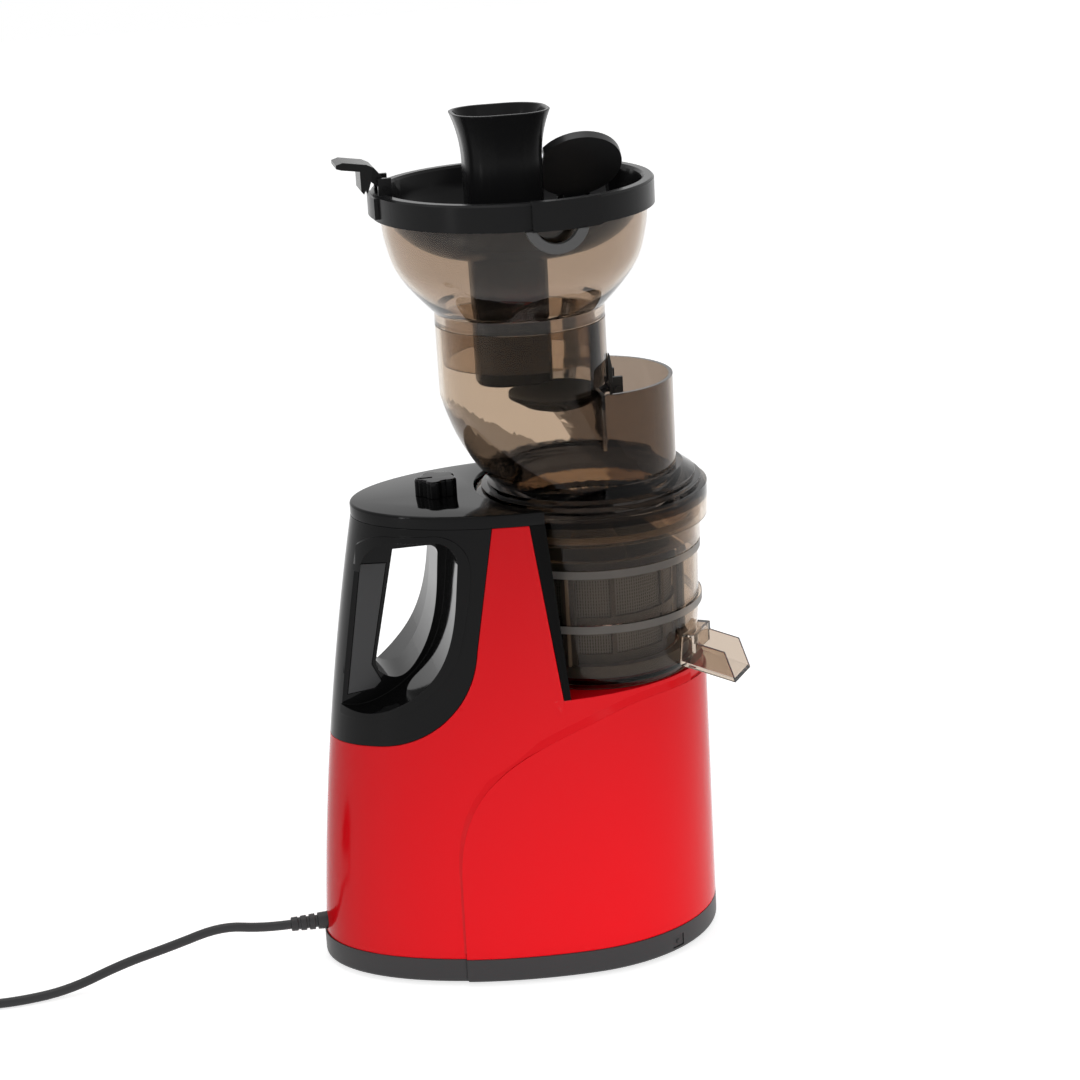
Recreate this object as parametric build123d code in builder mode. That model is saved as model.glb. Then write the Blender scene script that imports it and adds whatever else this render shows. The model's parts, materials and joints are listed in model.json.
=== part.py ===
"""Cold press juicer: a vertical slow juicer with a wide feed chute, hopper bowl and hand pusher.

Frame: +Z up, -Y the front (juicing drum), +Y the rear (handle and cord), -X the juice spout's side.
The origin lies on the table under the middle of the machine. Lengths are millimetres.
"""
import math
import os

from build123d import *

os.makedirs("parts", exist_ok=True)

# Clearances and common walls
wall = 2.6
seam = 0.3
running_gap = 0.05

# Housing outline: an egg of two half ellipses, measured from the drum's axis
half_width = 80.0
front_reach = 66.4
rear_reach = 188.0
waist_back = 28.0
side_lean = 0.057
waist_lean = 0.04
rear_lean = 0.05
rear_bow = 0.00026
panel_step = 1.6
panel_back = 108.0

# Heights of the housing's joints
foot_height = 2.0
base_floor = 3.0
base_top = 18.0
deck_z = 181.0
cover_seat = 292.0
cover_top = 300.0

# Juice spout, which sets how far the machine reaches in front of the drum
spout_angle = 34.0
spout_reach = 96.0
spout_width = 29.5
spout_height = 17.0
spout_slope = 13.0
spout_rake = 20.0
spout_wall = 2.2

spout_nose = (spout_reach * math.cos(math.radians(spout_angle))
              + spout_width / 2 * math.sin(math.radians(spout_angle)))
drum_y = (spout_nose - rear_reach) / 2

# Drum, strainer, brush and auger, all on the drum's axis
drum_foot_radius = 60.0
drum_waist_radius = drum_foot_radius + 4.0
drum_collar_radius = drum_waist_radius + 3.0
drum_bore_radius = drum_collar_radius - 4.8
drum_floor_z = deck_z + 6.0
drum_waist_z = deck_z + 34.0
drum_collar_z = deck_z + 81.0
drum_rim_z = deck_z + 110.0
drum_ridge_height = 5.0
brush_radius = drum_foot_radius - 8.0
strainer_radius = brush_radius - 3.2
strainer_wall = 1.9
mesh_wall = 0.55
strainer_top_z = deck_z + 81.0
auger_radius = strainer_radius - 3.6
auger_core_radius = 22.0
auger_top_z = deck_z + 92.0
auger_pitch = 34.0
brush_wall = 3.4
brush_top_z = deck_z + 76.0
hex_flats = 14.0

# Lid, chute and front cup
lid_radius = drum_collar_radius + 5.0
bay_radius = lid_radius + 1.2
lid_skirt_z = deck_z + 95.0
cup_radius = 53.5
cup_top_z = deck_z + 184.0
chute_radius = 52.0
chute_top_z = deck_z + 224.0
feed_back = 39.0

# Hopper, tray and pusher, on the chute's axis
hopper_ring_radius = 85.0
hopper_ring_height = 16.0
hopper_top_z = chute_top_z + 84.0
tray_flat_radius = 36.0
tray_floor_z = hopper_top_z - 39.2
pusher_back = 5.6
pusher_width = 47.0
pusher_depth = 44.0
pusher_flare = 59.4
pusher_top_z = hopper_top_z + 43.0
flap_radius = 26.8
flap_forward = 42.8
flap_open = 49.0
port_radius = 17.5
port_height = 18.6

# Motor and gearbox
motor_radius = 46.0
rotor_radius = 23.5
motor_low_z = 44.0
motor_high_z = 90.0
shaft_radius = 4.0
bearing_radius = 11.0
bearing_width = 7.0
gearbox_floor_z = 108.0
gearbox_top_z = 142.0
gear_spacing = 32.0
drive_radius = 9.0

# Handle
post_half = 16.5

# Cord
cord_radius = 3.0
cord_exit_z = 25.0

feed_y = drum_y + feed_back
rear_y = drum_y + rear_reach


def at(back):
    """A distance behind the drum's axis, as a place along Y."""
    return drum_y + back


def around(radius, degrees, axis_y=drum_y):
    """A point at a radius from an upright axis; 0 degrees is +X, 90 degrees is +Y."""
    turn = math.radians(degrees)
    return radius * math.cos(turn), axis_y + radius * math.sin(turn)


def egg_sizes(height, inset):
    """Half width, waist place, rear and front half lengths of the housing at a height."""
    half = half_width - side_lean * height - inset
    waist = at(waist_back + waist_lean * height)
    rear = at(rear_reach - rear_lean * height - rear_bow * height ** 2) - waist - inset
    front = waist - at(-front_reach) - inset
    return half, waist, rear, front


def egg(height, inset=0.0):
    """Draw the housing's outline at a height in the open sketch."""
    half, waist, rear, front = egg_sizes(height, inset)
    with BuildLine() as outline:
        EllipticalCenterArc((0, waist), half, rear, start_angle=0, arc_size=180)
        EllipticalCenterArc((0, waist), half, front, start_angle=180, arc_size=180)
    make_face(outline.edges())


def egg_point(height, inset, degrees):
    """A point on the housing's outline; 0 degrees is +X and 90 degrees is the rear."""
    half, waist, rear, front = egg_sizes(height, inset)
    turn = math.radians(degrees)
    reach = rear if math.sin(turn) > 0 else front
    return half * math.cos(turn), waist + reach * math.sin(turn)


def ring(outer, inner, low, high, axis_y=drum_y):
    """Add an upright ring to the open part."""
    with BuildSketch(Plane.XY.offset(low)) as section:
        with Locations((0, axis_y)):
            Circle(outer)
            Circle(inner, mode=Mode.SUBTRACT)
    extrude(section.sketch, amount=high - low)


def disc(radius, low, high, x=0.0, y=drum_y, mode=Mode.ADD):
    """Add or cut an upright cylinder in the open part."""
    with BuildSketch(Plane.XY.offset(low)) as section:
        with Locations((x, y)):
            Circle(radius)
    extrude(section.sketch, amount=high - low, mode=mode)


def block(width, length, low, high, x=0.0, y=drum_y, mode=Mode.ADD):
    """Add or cut an upright box in the open part."""
    with BuildSketch(Plane.XY.offset(low)) as section:
        with Locations((x, y)):
            Rectangle(width, length)
    extrude(section.sketch, amount=high - low, mode=mode)


def turned(points, axis_y=drum_y, mode=Mode.ADD):
    """Add or cut a solid turned about an upright axis from its (radius, height) outline."""
    with BuildSketch(Plane(origin=(0, axis_y, 0), x_dir=(1, 0, 0), z_dir=(0, -1, 0))) as section:
        with BuildLine():
            Polyline(*points, close=True)
        make_face()
    revolve(section.sketch, axis=Axis((0, axis_y, 0), (0, 0, 1)), mode=mode)


def side_prism(points, reach=120.0, mode=Mode.ADD):
    """Add or cut a prism across the whole width from its (distance back, height) outline."""
    with BuildSketch(Plane.YZ) as section:
        with BuildLine():
            Polyline(*[(at(back), height) for back, height in points], close=True)
        make_face()
    extrude(section.sketch, amount=reach, both=True, mode=mode)


def involute_half_angle(pitch_radius, radius, teeth, backlash, outward=1.0):
    """Half the angle that a tooth spans at a radius, in radians."""
    pressure = math.radians(20.0)
    base = pitch_radius * math.cos(pressure)
    local = math.acos(min(1.0, base / radius))
    lean = (math.tan(pressure) - pressure) - (math.tan(local) - local)
    return math.pi / (2 * teeth) - outward * backlash / (2 * pitch_radius) + lean


def gear_outline(teeth, module, first_tooth, axis_y=drum_y, axis_x=0.0, tip=0.9, root=1.25, backlash=0.1,
                 outward=1.0):
    """Draw a spur gear in the open sketch, with its first tooth at an angle in degrees."""
    pitch_radius = teeth * module / 2
    tip_radius = pitch_radius + tip * module
    root_radius = pitch_radius - root * module
    base_radius = pitch_radius * math.cos(math.radians(20.0))
    flank_radius = max(root_radius, base_radius)
    tip_half = involute_half_angle(pitch_radius, tip_radius, teeth, backlash, outward)
    flank_half = involute_half_angle(pitch_radius, flank_radius, teeth, backlash, outward)
    corners = []
    for tooth in range(teeth):
        middle = math.radians(first_tooth) + 2 * math.pi * tooth / teeth
        stations = [(root_radius, -flank_half), (tip_radius, -tip_half)]
        stations += [(tip_radius, tip_half), (root_radius, flank_half)]
        if flank_radius > root_radius + 0.05:
            stations.insert(1, (flank_radius, -flank_half))
            stations.insert(4, (flank_radius, flank_half))
        for radius, turn in stations:
            angle = middle + turn
            corners.append((axis_x + radius * math.cos(angle), axis_y + radius * math.sin(angle)))
    with BuildLine() as outline:
        Polyline(*corners, close=True)
    make_face(outline.edges())


def save(part, name):
    """Label a finished piece and write its file."""
    part.label = name
    export_step(part, f"parts/{name}.step")


# Housing forms: the outside and the inside of the moulded shells
form_heights = [base_top, deck_z * 0.6, deck_z * 1.13, cover_seat]

with BuildPart() as outer_form:
    for level in form_heights:
        with BuildSketch(Plane.XY.offset(level)):
            egg(level)
    loft()

with BuildPart() as inner_form:
    for level in form_heights:
        with BuildSketch(Plane.XY.offset(level)):
            egg(level, wall)
    loft()

# The front panel's edge: up from the base, then forward in one sweep below the deck
with BuildPart() as front_panel_zone:
    with BuildSketch(Plane.YZ):
        with BuildLine():
            rise = Line((at(panel_back), 0), (at(panel_back - 1), deck_z * 0.38))
            sweep_up = Spline(
                rise @ 1,
                (at(panel_back - 38), deck_z * 0.79),
                (at(10), deck_z * 0.93),
                (at(-front_reach - 5), deck_z * 0.955),
                tangents=(rise % 1, (-1, -0.05)),
            )
            Polyline(sweep_up @ 1, (at(-200), deck_z * 0.95), (at(-200), 0), rise @ 0)
        make_face()
    extrude(amount=120, both=True)

with BuildPart() as panel_form:
    for level in form_heights:
        with BuildSketch(Plane.XY.offset(level)):
            egg(level, -panel_step)
    loft()
    add(front_panel_zone.part, mode=Mode.INTERSECT)

# The handle shell's edge: level from the rear, round, then up and forward beside the column
joint_low = 155.0
joint_rise_back = 88.0
joint_rise_z = 215.0
joint_top_back = 74.0


def handle_side(gap, mode):
    """Cut or keep the zone that belongs to the handle shell, moved forward by a gap."""
    with BuildSketch(Plane.YZ) as section:
        with BuildLine():
            level_edge = Line((at(260), joint_low - 12 - gap), (at(148), joint_low - gap))
            corner = ThreePointArc(
                level_edge @ 1,
                (at(108 - gap), joint_low + 19 - gap),
                (at(joint_rise_back - gap), joint_rise_z),
            )
            Polyline(
                corner @ 1,
                (at(joint_top_back - gap), cover_seat + gap),
                (at(joint_top_back - gap), cover_seat + 20),
                (at(260), cover_seat + 20),
                level_edge @ 0,
            )
        make_face()
    extrude(section.sketch, amount=120, both=True, mode=mode)


# Column face: the slanted front edges of the red column and of the black panel
panel_low_back = bay_radius - 40.2
panel_high_back = bay_radius - 31.2
column_low_back = panel_low_back + 4.5
column_high_back = panel_high_back + 9.8

# The safety switch stands under the drum's floor, just inside its foot
interlock_back = drum_foot_radius - 8.0

# Base
screw_angles = [24, 72, 108, 156, 218, 322]
screw_spots = [egg_point(base_top, 8.0, degrees) for degrees in screw_angles]
motor_posts = [around(42.0, degrees) for degrees in (45, 135, 225, 315)]
foot_spots = [(x, at(back)) for x, back in ((-46, -24), (46, -24), (-44, 122), (44, 122))]
board_back = 108.0
board_width = 64.0
exit_radius = 5.0

# A small clip stands in a pocket low on the base's front edge, square to the wall there
clip_low = 5.0
clip_height = 8.0
clip_width = 9.6
clip_depth = 2.2
clip_half, clip_waist, clip_rear, clip_front = egg_sizes(0, -panel_step)
clip_x, clip_y = egg_point(0, -panel_step, 216)
clip_turn = math.degrees(math.atan2((clip_y - clip_waist) / clip_front ** 2, clip_x / clip_half ** 2))
clip_place = Location((clip_x, clip_y, 0), (0, 0, clip_turn))

with BuildPart() as base_plate:
    with BuildSketch(Plane.XY.offset(foot_height)):
        egg(0)
    extrude(amount=base_top - foot_height)
    with BuildSketch(Plane.XY.offset(foot_height)):
        egg(0, -panel_step)
        with Locations((0, at(panel_back - 150))):
            Rectangle(300, 300, mode=Mode.INTERSECT)
    extrude(amount=base_top - foot_height)
    fillet(base_plate.faces().sort_by(Axis.Z)[0].edges(), radius=3.0)
    with BuildSketch(Plane.XY.offset(foot_height + base_floor)):
        egg(0, 3.2)
    extrude(amount=base_top, mode=Mode.SUBTRACT)
    for x, y in screw_spots:
        disc(6.0, foot_height, base_top - seam, x, y)
        disc(4.2, foot_height, foot_height + 4, x, y, mode=Mode.SUBTRACT)
        disc(2.25, foot_height, base_top, x, y, mode=Mode.SUBTRACT)
    for x, y in motor_posts:
        disc(6.0, foot_height, 24.0, x, y)
    for side in (-1, 1):
        block(5.0, 8.0, foot_height, 26.0, side * board_width / 2, at(board_back))
        block(5.1, 1.7, 16.0, 26.0, side * board_width / 2, at(board_back), mode=Mode.SUBTRACT)
    with BuildSketch(Plane.XY.offset(clip_low)):
        with Locations(clip_place):
            Rectangle(2 * clip_depth, clip_width)
    extrude(amount=clip_height, mode=Mode.SUBTRACT)
save(base_plate.part, "base_plate")

with BuildPart() as rubber_feet:
    for x, y in foot_spots:
        disc(9.0, 0.0, foot_height, x, y)
    fillet(rubber_feet.faces().group_by(Axis.Z)[0].edges(), radius=0.8)
save(rubber_feet.part, "rubber_feet")

with BuildPart() as base_screws:
    for x, y in screw_spots:
        disc(3.9, foot_height + 1.2, foot_height + 4, x, y)
        disc(2.0, foot_height + 4, 34.0, x, y)
        block(5.0, 1.0, foot_height + 1.2, foot_height + 2.4, x, y, mode=Mode.SUBTRACT)
save(base_screws.part, "base_screws")

with BuildPart() as base_clip:
    with BuildSketch(Plane.XY.offset(clip_low + seam)):
        with Locations(clip_place * Location((-clip_depth + 0.8, 0, 0))):
            Rectangle(1.6, clip_width - 2 * seam)
    extrude(amount=clip_height - 2 * seam)
    with BuildSketch(Plane.XY.offset(clip_low + 2.6)):
        with Locations(clip_place * Location((-0.6, 0, 0))):
            Rectangle(1.2, 2.4)
    extrude(amount=2.4)
save(base_clip.part, "base_clip")

# Red moulding: lower housing, deck and the two column cheeks
with BuildPart() as red_form:
    add(outer_form.part)
    add(panel_form.part)
    add(inner_form.part, mode=Mode.SUBTRACT)
    with BuildSketch(Plane.XY.offset(deck_z - wall)):
        egg(deck_z, 0.6)
        with Locations((0, at(82 - 150))):
            Rectangle(300, 300, mode=Mode.INTERSECT)
    extrude(amount=wall)
    side_prism([(-200, deck_z), (column_low_back, deck_z), (column_high_back, cover_seat + 2),
                (-200, cover_seat + 2)], mode=Mode.SUBTRACT)
    handle_side(seam, Mode.SUBTRACT)
    for x, y in screw_spots:
        disc(5.4, base_top, 40.0, x, y)
        disc(2.05, base_top, 36.0, x, y, mode=Mode.SUBTRACT)
    for side in (-1, 1):
        for back in (-26, 58):
            disc(5.4, gearbox_top_z + 4, deck_z - wall, side * 36, at(back))
            disc(2.05, gearbox_top_z + 4, 166.0, side * 36, at(back), mode=Mode.SUBTRACT)
    disc(12.0, deck_z - wall, deck_z, mode=Mode.SUBTRACT)
    disc(2.9, deck_z - wall, deck_z, y=at(interlock_back), mode=Mode.SUBTRACT)
    with BuildSketch(Plane.XZ.offset(-rear_y - 5)):
        with Locations((0, cord_exit_z)):
            Circle(exit_radius + 1.0)
    extrude(amount=14, mode=Mode.SUBTRACT)

# The moulding is kept as two pieces that meet at the deck's level
with BuildPart() as body_shell:
    add(red_form.part)
    block(400, 600, deck_z, cover_top, mode=Mode.SUBTRACT)
save(body_shell.part, "body_shell")

with BuildPart() as column_cheeks:
    add(red_form.part)
    block(400, 600, 0, deck_z, mode=Mode.SUBTRACT)
save(column_cheeks.part, "column_cheeks")

# Black panel between the column cheeks and the drum
with BuildPart() as column_lips:
    add(outer_form.part)
    add(inner_form.part, mode=Mode.SUBTRACT)
    side_prism([(panel_low_back, deck_z), (column_low_back - seam, deck_z),
                (column_high_back - seam, cover_seat), (panel_high_back, cover_seat)], mode=Mode.INTERSECT)

with BuildPart() as column_panel:
    ring(bay_radius + wall, bay_radius, deck_z, cover_seat)
    with BuildSketch(Plane.YZ):
        with BuildLine():
            Polyline((at(panel_low_back), deck_z), (at(panel_high_back), cover_seat), (at(90), cover_seat),
                     (at(90), deck_z), close=True)
        make_face()
    extrude(amount=120, both=True, mode=Mode.INTERSECT)
    with BuildSketch(Plane.XY.offset(deck_z)):
        egg(cover_seat, 1.0)
    extrude(amount=cover_seat, mode=Mode.INTERSECT)
    add(column_lips.part)
    disc(bay_radius, deck_z, cover_seat, mode=Mode.SUBTRACT)
save(column_panel.part, "column_panel")

knob_back = 97.0

# Handle shell with its through grip: a deep recess on each side, framed by a raised bead
grip_front = 95.6
grip_rim_top = 284.2
grip_corner = 14.2
grip_floor = [(97.7, 251), (102.9, 223), (111.7, 203.5), (127.6, 187), (142, 178.5), (157, 174.8), (185, 184)]
grip_rear = [(150.5, 262), (145.5, 275)]
bead_rise = 1.0
bead_front = 88.4
bead_rim_top = 288.1
bead_corner = 19.0
bead_floor = [(90.3, 250), (94.4, 230), (100.2, 211), (111, 195.5), (126, 181.4), (140, 174), (155, 170.8),
              (185, 175)]
bead_rear = [(156.5, 262), (150.5, 278.5)]
hole_top = 272.5
hole_front = [(104.1, 240), (109.5, 217.5), (118.5, 200), (131, 190), (140.5, 193), (144.3, 202)]
pad_outline = [(149.6, 265.5), (133.2, 264.5), (146.8, 200), (141.5, 188.5), (146, 184), (163.4, 182)]
pad_depth = 1.0
post_zone = [(128, 266), (200, 266), (200, 196), (133, 196)]


def side_points(outline):
    """Turn (distance back, height) pairs into places in a side view."""
    return [(at(back), height) for back, height in outline]


def grip_outline(front, top, corner, floor, rear):
    """Draw a rounded outline round the grip in the open side sketch; it runs out at the rear."""
    with BuildLine() as outline:
        top_edge = Line((at(133), top - 1.6), (at(109), top))
        front_corner = TangentArc(top_edge @ 1, (at(front), top - corner), tangent=top_edge % 1)
        floor_edge = Spline(front_corner @ 1, *side_points(floor), tangents=(front_corner % 1, (1, 0.4)))
        rear_start, rear_bend = side_points(rear)
        Polyline(floor_edge @ 1, (at(185), 262), rear_start)
        ThreePointArc(rear_start, rear_bend, top_edge @ 0)
    make_face(outline.edges())


def pad_shape(gap):
    """Draw one grip pad's outline, smaller all round by a gap, in the open side sketch."""
    with BuildLine() as outline:
        Polyline(*side_points(pad_outline), close=True)
    make_face(outline.edges())
    if gap:
        offset(amount=-gap)


with BuildPart() as handle_hollow:
    add(inner_form.part)
    handle_side(-wall, Mode.INTERSECT)
    with BuildSketch(Plane.YZ):
        with BuildLine():
            Polyline((at(grip_front - 4), cover_seat + 5), (at(grip_front - 4), 262), (at(99), 221),
                     (at(108), 199), (at(124.5), 182.5), (at(141), 174), (at(157), 170.5), (at(260), 184),
                     (at(260), cover_seat + 5), close=True)
        make_face()
    extrude(amount=120, both=True, mode=Mode.SUBTRACT)

with BuildPart() as bead_form:
    for level in form_heights:
        with BuildSketch(Plane.XY.offset(level)):
            egg(level, -bead_rise)
    loft()

with BuildPart() as grip_bead:
    for side in (-1, 1):
        with BuildSketch(Plane.YZ.offset(side * post_half)):
            grip_outline(bead_front, bead_rim_top, bead_corner, bead_floor, bead_rear)
        extrude(amount=side * 80)
    add(bead_form.part, mode=Mode.INTERSECT)

with BuildPart() as handle_form:
    add(outer_form.part)
    add(grip_bead.part)
    handle_side(0.0, Mode.INTERSECT)
    add(handle_hollow.part, mode=Mode.SUBTRACT)
    for side in (-1, 1):
        with BuildSketch(Plane.YZ.offset(side * post_half)):
            grip_outline(grip_front, grip_rim_top, grip_corner, grip_floor, grip_rear)
        extrude(amount=side * 80, mode=Mode.SUBTRACT)
    with BuildSketch(Plane.YZ):
        with BuildLine():
            hole_edge = Line((at(129), hole_top), (at(107), hole_top))
            hole_corner = TangentArc(hole_edge @ 1, (at(101.6), hole_top - 6), tangent=hole_edge % 1)
            hole_sweep = Spline(hole_corner @ 1, *side_points(hole_front),
                                tangents=(hole_corner % 1, (-0.2, 1)))
            Line(hole_sweep @ 1, hole_edge @ 0)
        make_face()
    extrude(amount=120, both=True, mode=Mode.SUBTRACT)
    for side in (-1, 1):
        with BuildSketch(Plane.YZ.offset(side * (post_half - pad_depth))):
            pad_shape(0)
        extrude(amount=side * 4, mode=Mode.SUBTRACT)
    block(26.0, 26.0, cover_seat - 4.0, cover_seat + 5, y=at(knob_back), mode=Mode.SUBTRACT)
    disc(bay_radius + wall + seam, deck_z - 40, cover_seat + 5, mode=Mode.SUBTRACT)

# The handle is kept as the shell and the upright post behind the hole
with BuildPart() as handle_shell:
    add(handle_form.part)
    side_prism(post_zone, mode=Mode.SUBTRACT)
save(handle_shell.part, "handle_shell")

with BuildPart() as handle_post:
    add(handle_form.part)
    side_prism(post_zone, mode=Mode.INTERSECT)
save(handle_post.part, "handle_post")

with BuildPart() as grip_inserts:
    for side in (-1, 1):
        with BuildSketch(Plane.YZ.offset(side * (post_half - pad_depth))):
            pad_shape(seam)
        extrude(amount=side * 1.4)
save(grip_inserts.part, "grip_inserts")

# Glossy top cover, and the rotary switch that hangs under it
with BuildPart() as top_cover:
    with BuildSketch(Plane.XY.offset(cover_seat)):
        egg(cover_seat)
    extrude(amount=cover_top - cover_seat)
    fillet(top_cover.faces().sort_by(Axis.Z)[-1].edges(), radius=1.6)
    with BuildSketch(Plane.XY.offset(cover_seat)):
        egg(cover_seat, wall)
        with Locations((0, at(90 + 60))):
            Rectangle(200, 186, mode=Mode.INTERSECT)
    extrude(amount=cover_top - cover_seat - 3.0, mode=Mode.SUBTRACT)
    disc(bay_radius, cover_seat - 1, cover_top + 1, mode=Mode.SUBTRACT)
    side_prism([(-200, cover_seat - 1), (panel_high_back, cover_seat - 1), (panel_high_back, cover_top + 1),
                (-200, cover_top + 1)], mode=Mode.SUBTRACT)
    disc(4.4, cover_seat, cover_top, y=at(knob_back), mode=Mode.SUBTRACT)
save(top_cover.part, "top_cover")

with BuildPart() as selector_switch:
    block(25.0, 25.0, cover_seat - 3.0, cover_top - 3.0, y=at(knob_back))
    disc(3.0 + running_gap, cover_seat, cover_top - 3.0, y=at(knob_back), mode=Mode.SUBTRACT)
save(selector_switch.part, "selector_switch")

with BuildPart() as selector_knob:
    with BuildSketch(Plane.XY.offset(cover_top + seam)):
        with Locations((0, at(knob_back))):
            Circle(10.5)
        with Locations([around(8.6, 90 + 72 * lobe, at(knob_back)) for lobe in range(5)]):
            Circle(4.8)
    extrude(amount=10.5)
    fillet(selector_knob.faces().sort_by(Axis.Z)[-1].edges(), radius=1.2)
    disc(3.0, cover_seat + 0.5, cover_top + 1.0, y=at(knob_back))
    block(2.0, 9.0, cover_top + 10.4, cover_top + 11.2, y=at(knob_back + 7))
save(selector_knob.part, "selector_knob")

# Motor: end bell, laminations, windings, rotor
with BuildPart() as motor_bracket:
    disc(50.0, 24.0, 28.0)
    disc(14.0, 17.0, 28.0)
    ring(motor_radius + 2.5, motor_radius - 2.5, 28.0, motor_low_z)
    disc(bearing_radius, 20.0, 28.0, mode=Mode.SUBTRACT)
    disc(shaft_radius + 1, 17.0, 28.0, mode=Mode.SUBTRACT)
    with BuildSketch(Plane.XY.offset(24.0)):
        with Locations([around(31.0, 60 * slot) for slot in range(6)]):
            Circle(6.0)
    extrude(amount=4.0, mode=Mode.SUBTRACT)
save(motor_bracket.part, "motor_bracket")

with BuildPart() as stator_core:
    ring(motor_radius, rotor_radius + 0.7, motor_low_z, motor_high_z)
    with BuildSketch(Plane.XY.offset(motor_low_z)):
        with Locations([around(34.0, 15 + 30 * slot) for slot in range(12)]):
            Circle(4.2)
    extrude(amount=motor_high_z - motor_low_z, mode=Mode.SUBTRACT)
save(stator_core.part, "stator_core")

with BuildPart() as stator_windings:
    ring(41.5, 27.0, motor_low_z - 10.0, motor_low_z)
    ring(41.5, 27.0, motor_high_z, motor_high_z + 10.0)
    with BuildSketch(Plane.XY.offset(motor_low_z)):
        with Locations([around(34.0, 15 + 30 * slot) for slot in range(12)]):
            Circle(4.0)
    extrude(amount=motor_high_z - motor_low_z)
save(stator_windings.part, "stator_windings")

upper_bearing_z = gearbox_floor_z + 4.0 - bearing_width
with BuildPart() as motor_bearings:
    for low in (20.0, upper_bearing_z):
        ring(bearing_radius - running_gap, shaft_radius + running_gap, low, low + bearing_width)
save(motor_bearings.part, "motor_bearings")

with BuildPart() as rotor_shaft:
    disc(shaft_radius, 19.0, gearbox_floor_z + 4.2)
    disc(shaft_radius - 1.0, gearbox_floor_z + 4.2, gearbox_floor_z + 16.0)
save(rotor_shaft.part, "rotor_shaft")

with BuildPart() as rotor_core:
    ring(rotor_radius, shaft_radius + 0.02, motor_low_z, motor_high_z)
save(rotor_core.part, "rotor_core")

with BuildPart() as cooling_fan:
    ring(8.0, shaft_radius + 0.02, 31.0, 41.0)
    ring(23.0, 8.0, 39.5, 41.0)
    for blade in range(9):
        x, y = around(15.0, 40 * blade)
        with BuildSketch(Plane.XY.offset(31.0)):
            with Locations(Location((x, y, 0), (0, 0, 40 * blade + 12))):
                Rectangle(15.0, 1.4)
        extrude(amount=8.5)
save(cooling_fan.part, "cooling_fan")

# Two-stage reduction: rotor pinion, idler behind it, output gear back on the drum's axis
pinion_teeth = 12
idler_big_teeth = 60
idler_small_teeth = 20
output_teeth = 80
first_module = 2 * gear_spacing / (pinion_teeth + idler_big_teeth)
second_module = 2 * gear_spacing / (idler_small_teeth + output_teeth)
idler_y = at(gear_spacing)

with BuildPart() as motor_pinion:
    with BuildSketch(Plane.XY.offset(gearbox_floor_z + 5.0)):
        gear_outline(pinion_teeth, first_module, 90)
        with Locations((0, drum_y)):
            Circle(shaft_radius - 1.0 + 0.02, mode=Mode.SUBTRACT)
    extrude(amount=10.5)
save(motor_pinion.part, "motor_pinion")

with BuildPart() as idler_gear:
    with BuildSketch(Plane.XY.offset(gearbox_floor_z + 6.5)):
        gear_outline(idler_big_teeth, first_module, -90 + 180 / idler_big_teeth, idler_y)
    extrude(amount=8.0)
    with BuildSketch(Plane.XY.offset(gearbox_floor_z + 14.5)):
        gear_outline(idler_small_teeth, second_module, -90, idler_y)
    extrude(amount=16.5)
    disc(3.0 + running_gap, gearbox_floor_z, gearbox_top_z, y=idler_y, mode=Mode.SUBTRACT)
save(idler_gear.part, "idler_gear")

with BuildPart() as output_gear:
    with BuildSketch(Plane.XY.offset(gearbox_floor_z + 19.0)):
        gear_outline(output_teeth, second_module, 90 + 180 / output_teeth)
    extrude(amount=11.0)
    disc(drive_radius + 0.02, gearbox_floor_z, gearbox_top_z, mode=Mode.SUBTRACT)
save(output_gear.part, "output_gear")

with BuildPart() as drive_shaft:
    disc(drive_radius, gearbox_floor_z + 18.0, deck_z + 2.0)
    with BuildSketch(Plane.XY.offset(deck_z + 2.0)):
        with Locations((0, drum_y)):
            RegularPolygon(hex_flats / 2, 6, major_radius=False)
    extrude(amount=21.0)
    chamfer(drive_shaft.faces().sort_by(Axis.Z)[-1].edges(), length=1.0)
save(drive_shaft.part, "drive_shaft")

gearbox_radius = 32.0


def gearbox_footprint(radius):
    """Draw the gearbox's outline round both gear axes in the open sketch."""
    with Locations((0, drum_y), (0, idler_y)):
        Circle(radius)
    with Locations((0, (drum_y + idler_y) / 2)):
        Rectangle(2 * radius, gear_spacing)


flange_spots = [(side * 36, at(back)) for side in (-1, 1) for back in (-26, 58)]

with BuildPart() as gearbox_housing:
    ring(motor_radius + 2.5, motor_radius - 2.5, motor_high_z, gearbox_floor_z)
    disc(motor_radius + 2.5, gearbox_floor_z, gearbox_floor_z + 4)
    disc(14.0, gearbox_floor_z - 6.0, gearbox_floor_z)
    with BuildSketch(Plane.XY.offset(gearbox_floor_z)):
        gearbox_footprint(gearbox_radius)
    extrude(amount=gearbox_top_z - gearbox_floor_z)
    with BuildSketch(Plane.XY.offset(gearbox_top_z - 4.0)):
        with Locations((0, at(16))):
            RectangleRounded(86, 98, 9)
    extrude(amount=4.0)
    with BuildSketch(Plane.XY.offset(gearbox_floor_z + 4.0)):
        gearbox_footprint(gearbox_radius - wall)
    extrude(amount=gearbox_top_z, mode=Mode.SUBTRACT)
    disc(bearing_radius, upper_bearing_z, gearbox_floor_z + 4.0, mode=Mode.SUBTRACT)
    disc(shaft_radius + 1, gearbox_floor_z - 6.0, gearbox_floor_z + 4.0, mode=Mode.SUBTRACT)
    for x, y in flange_spots:
        disc(2.2, gearbox_top_z - 4.0, gearbox_top_z, x, y, mode=Mode.SUBTRACT)
save(gearbox_housing.part, "gearbox_housing")

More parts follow.
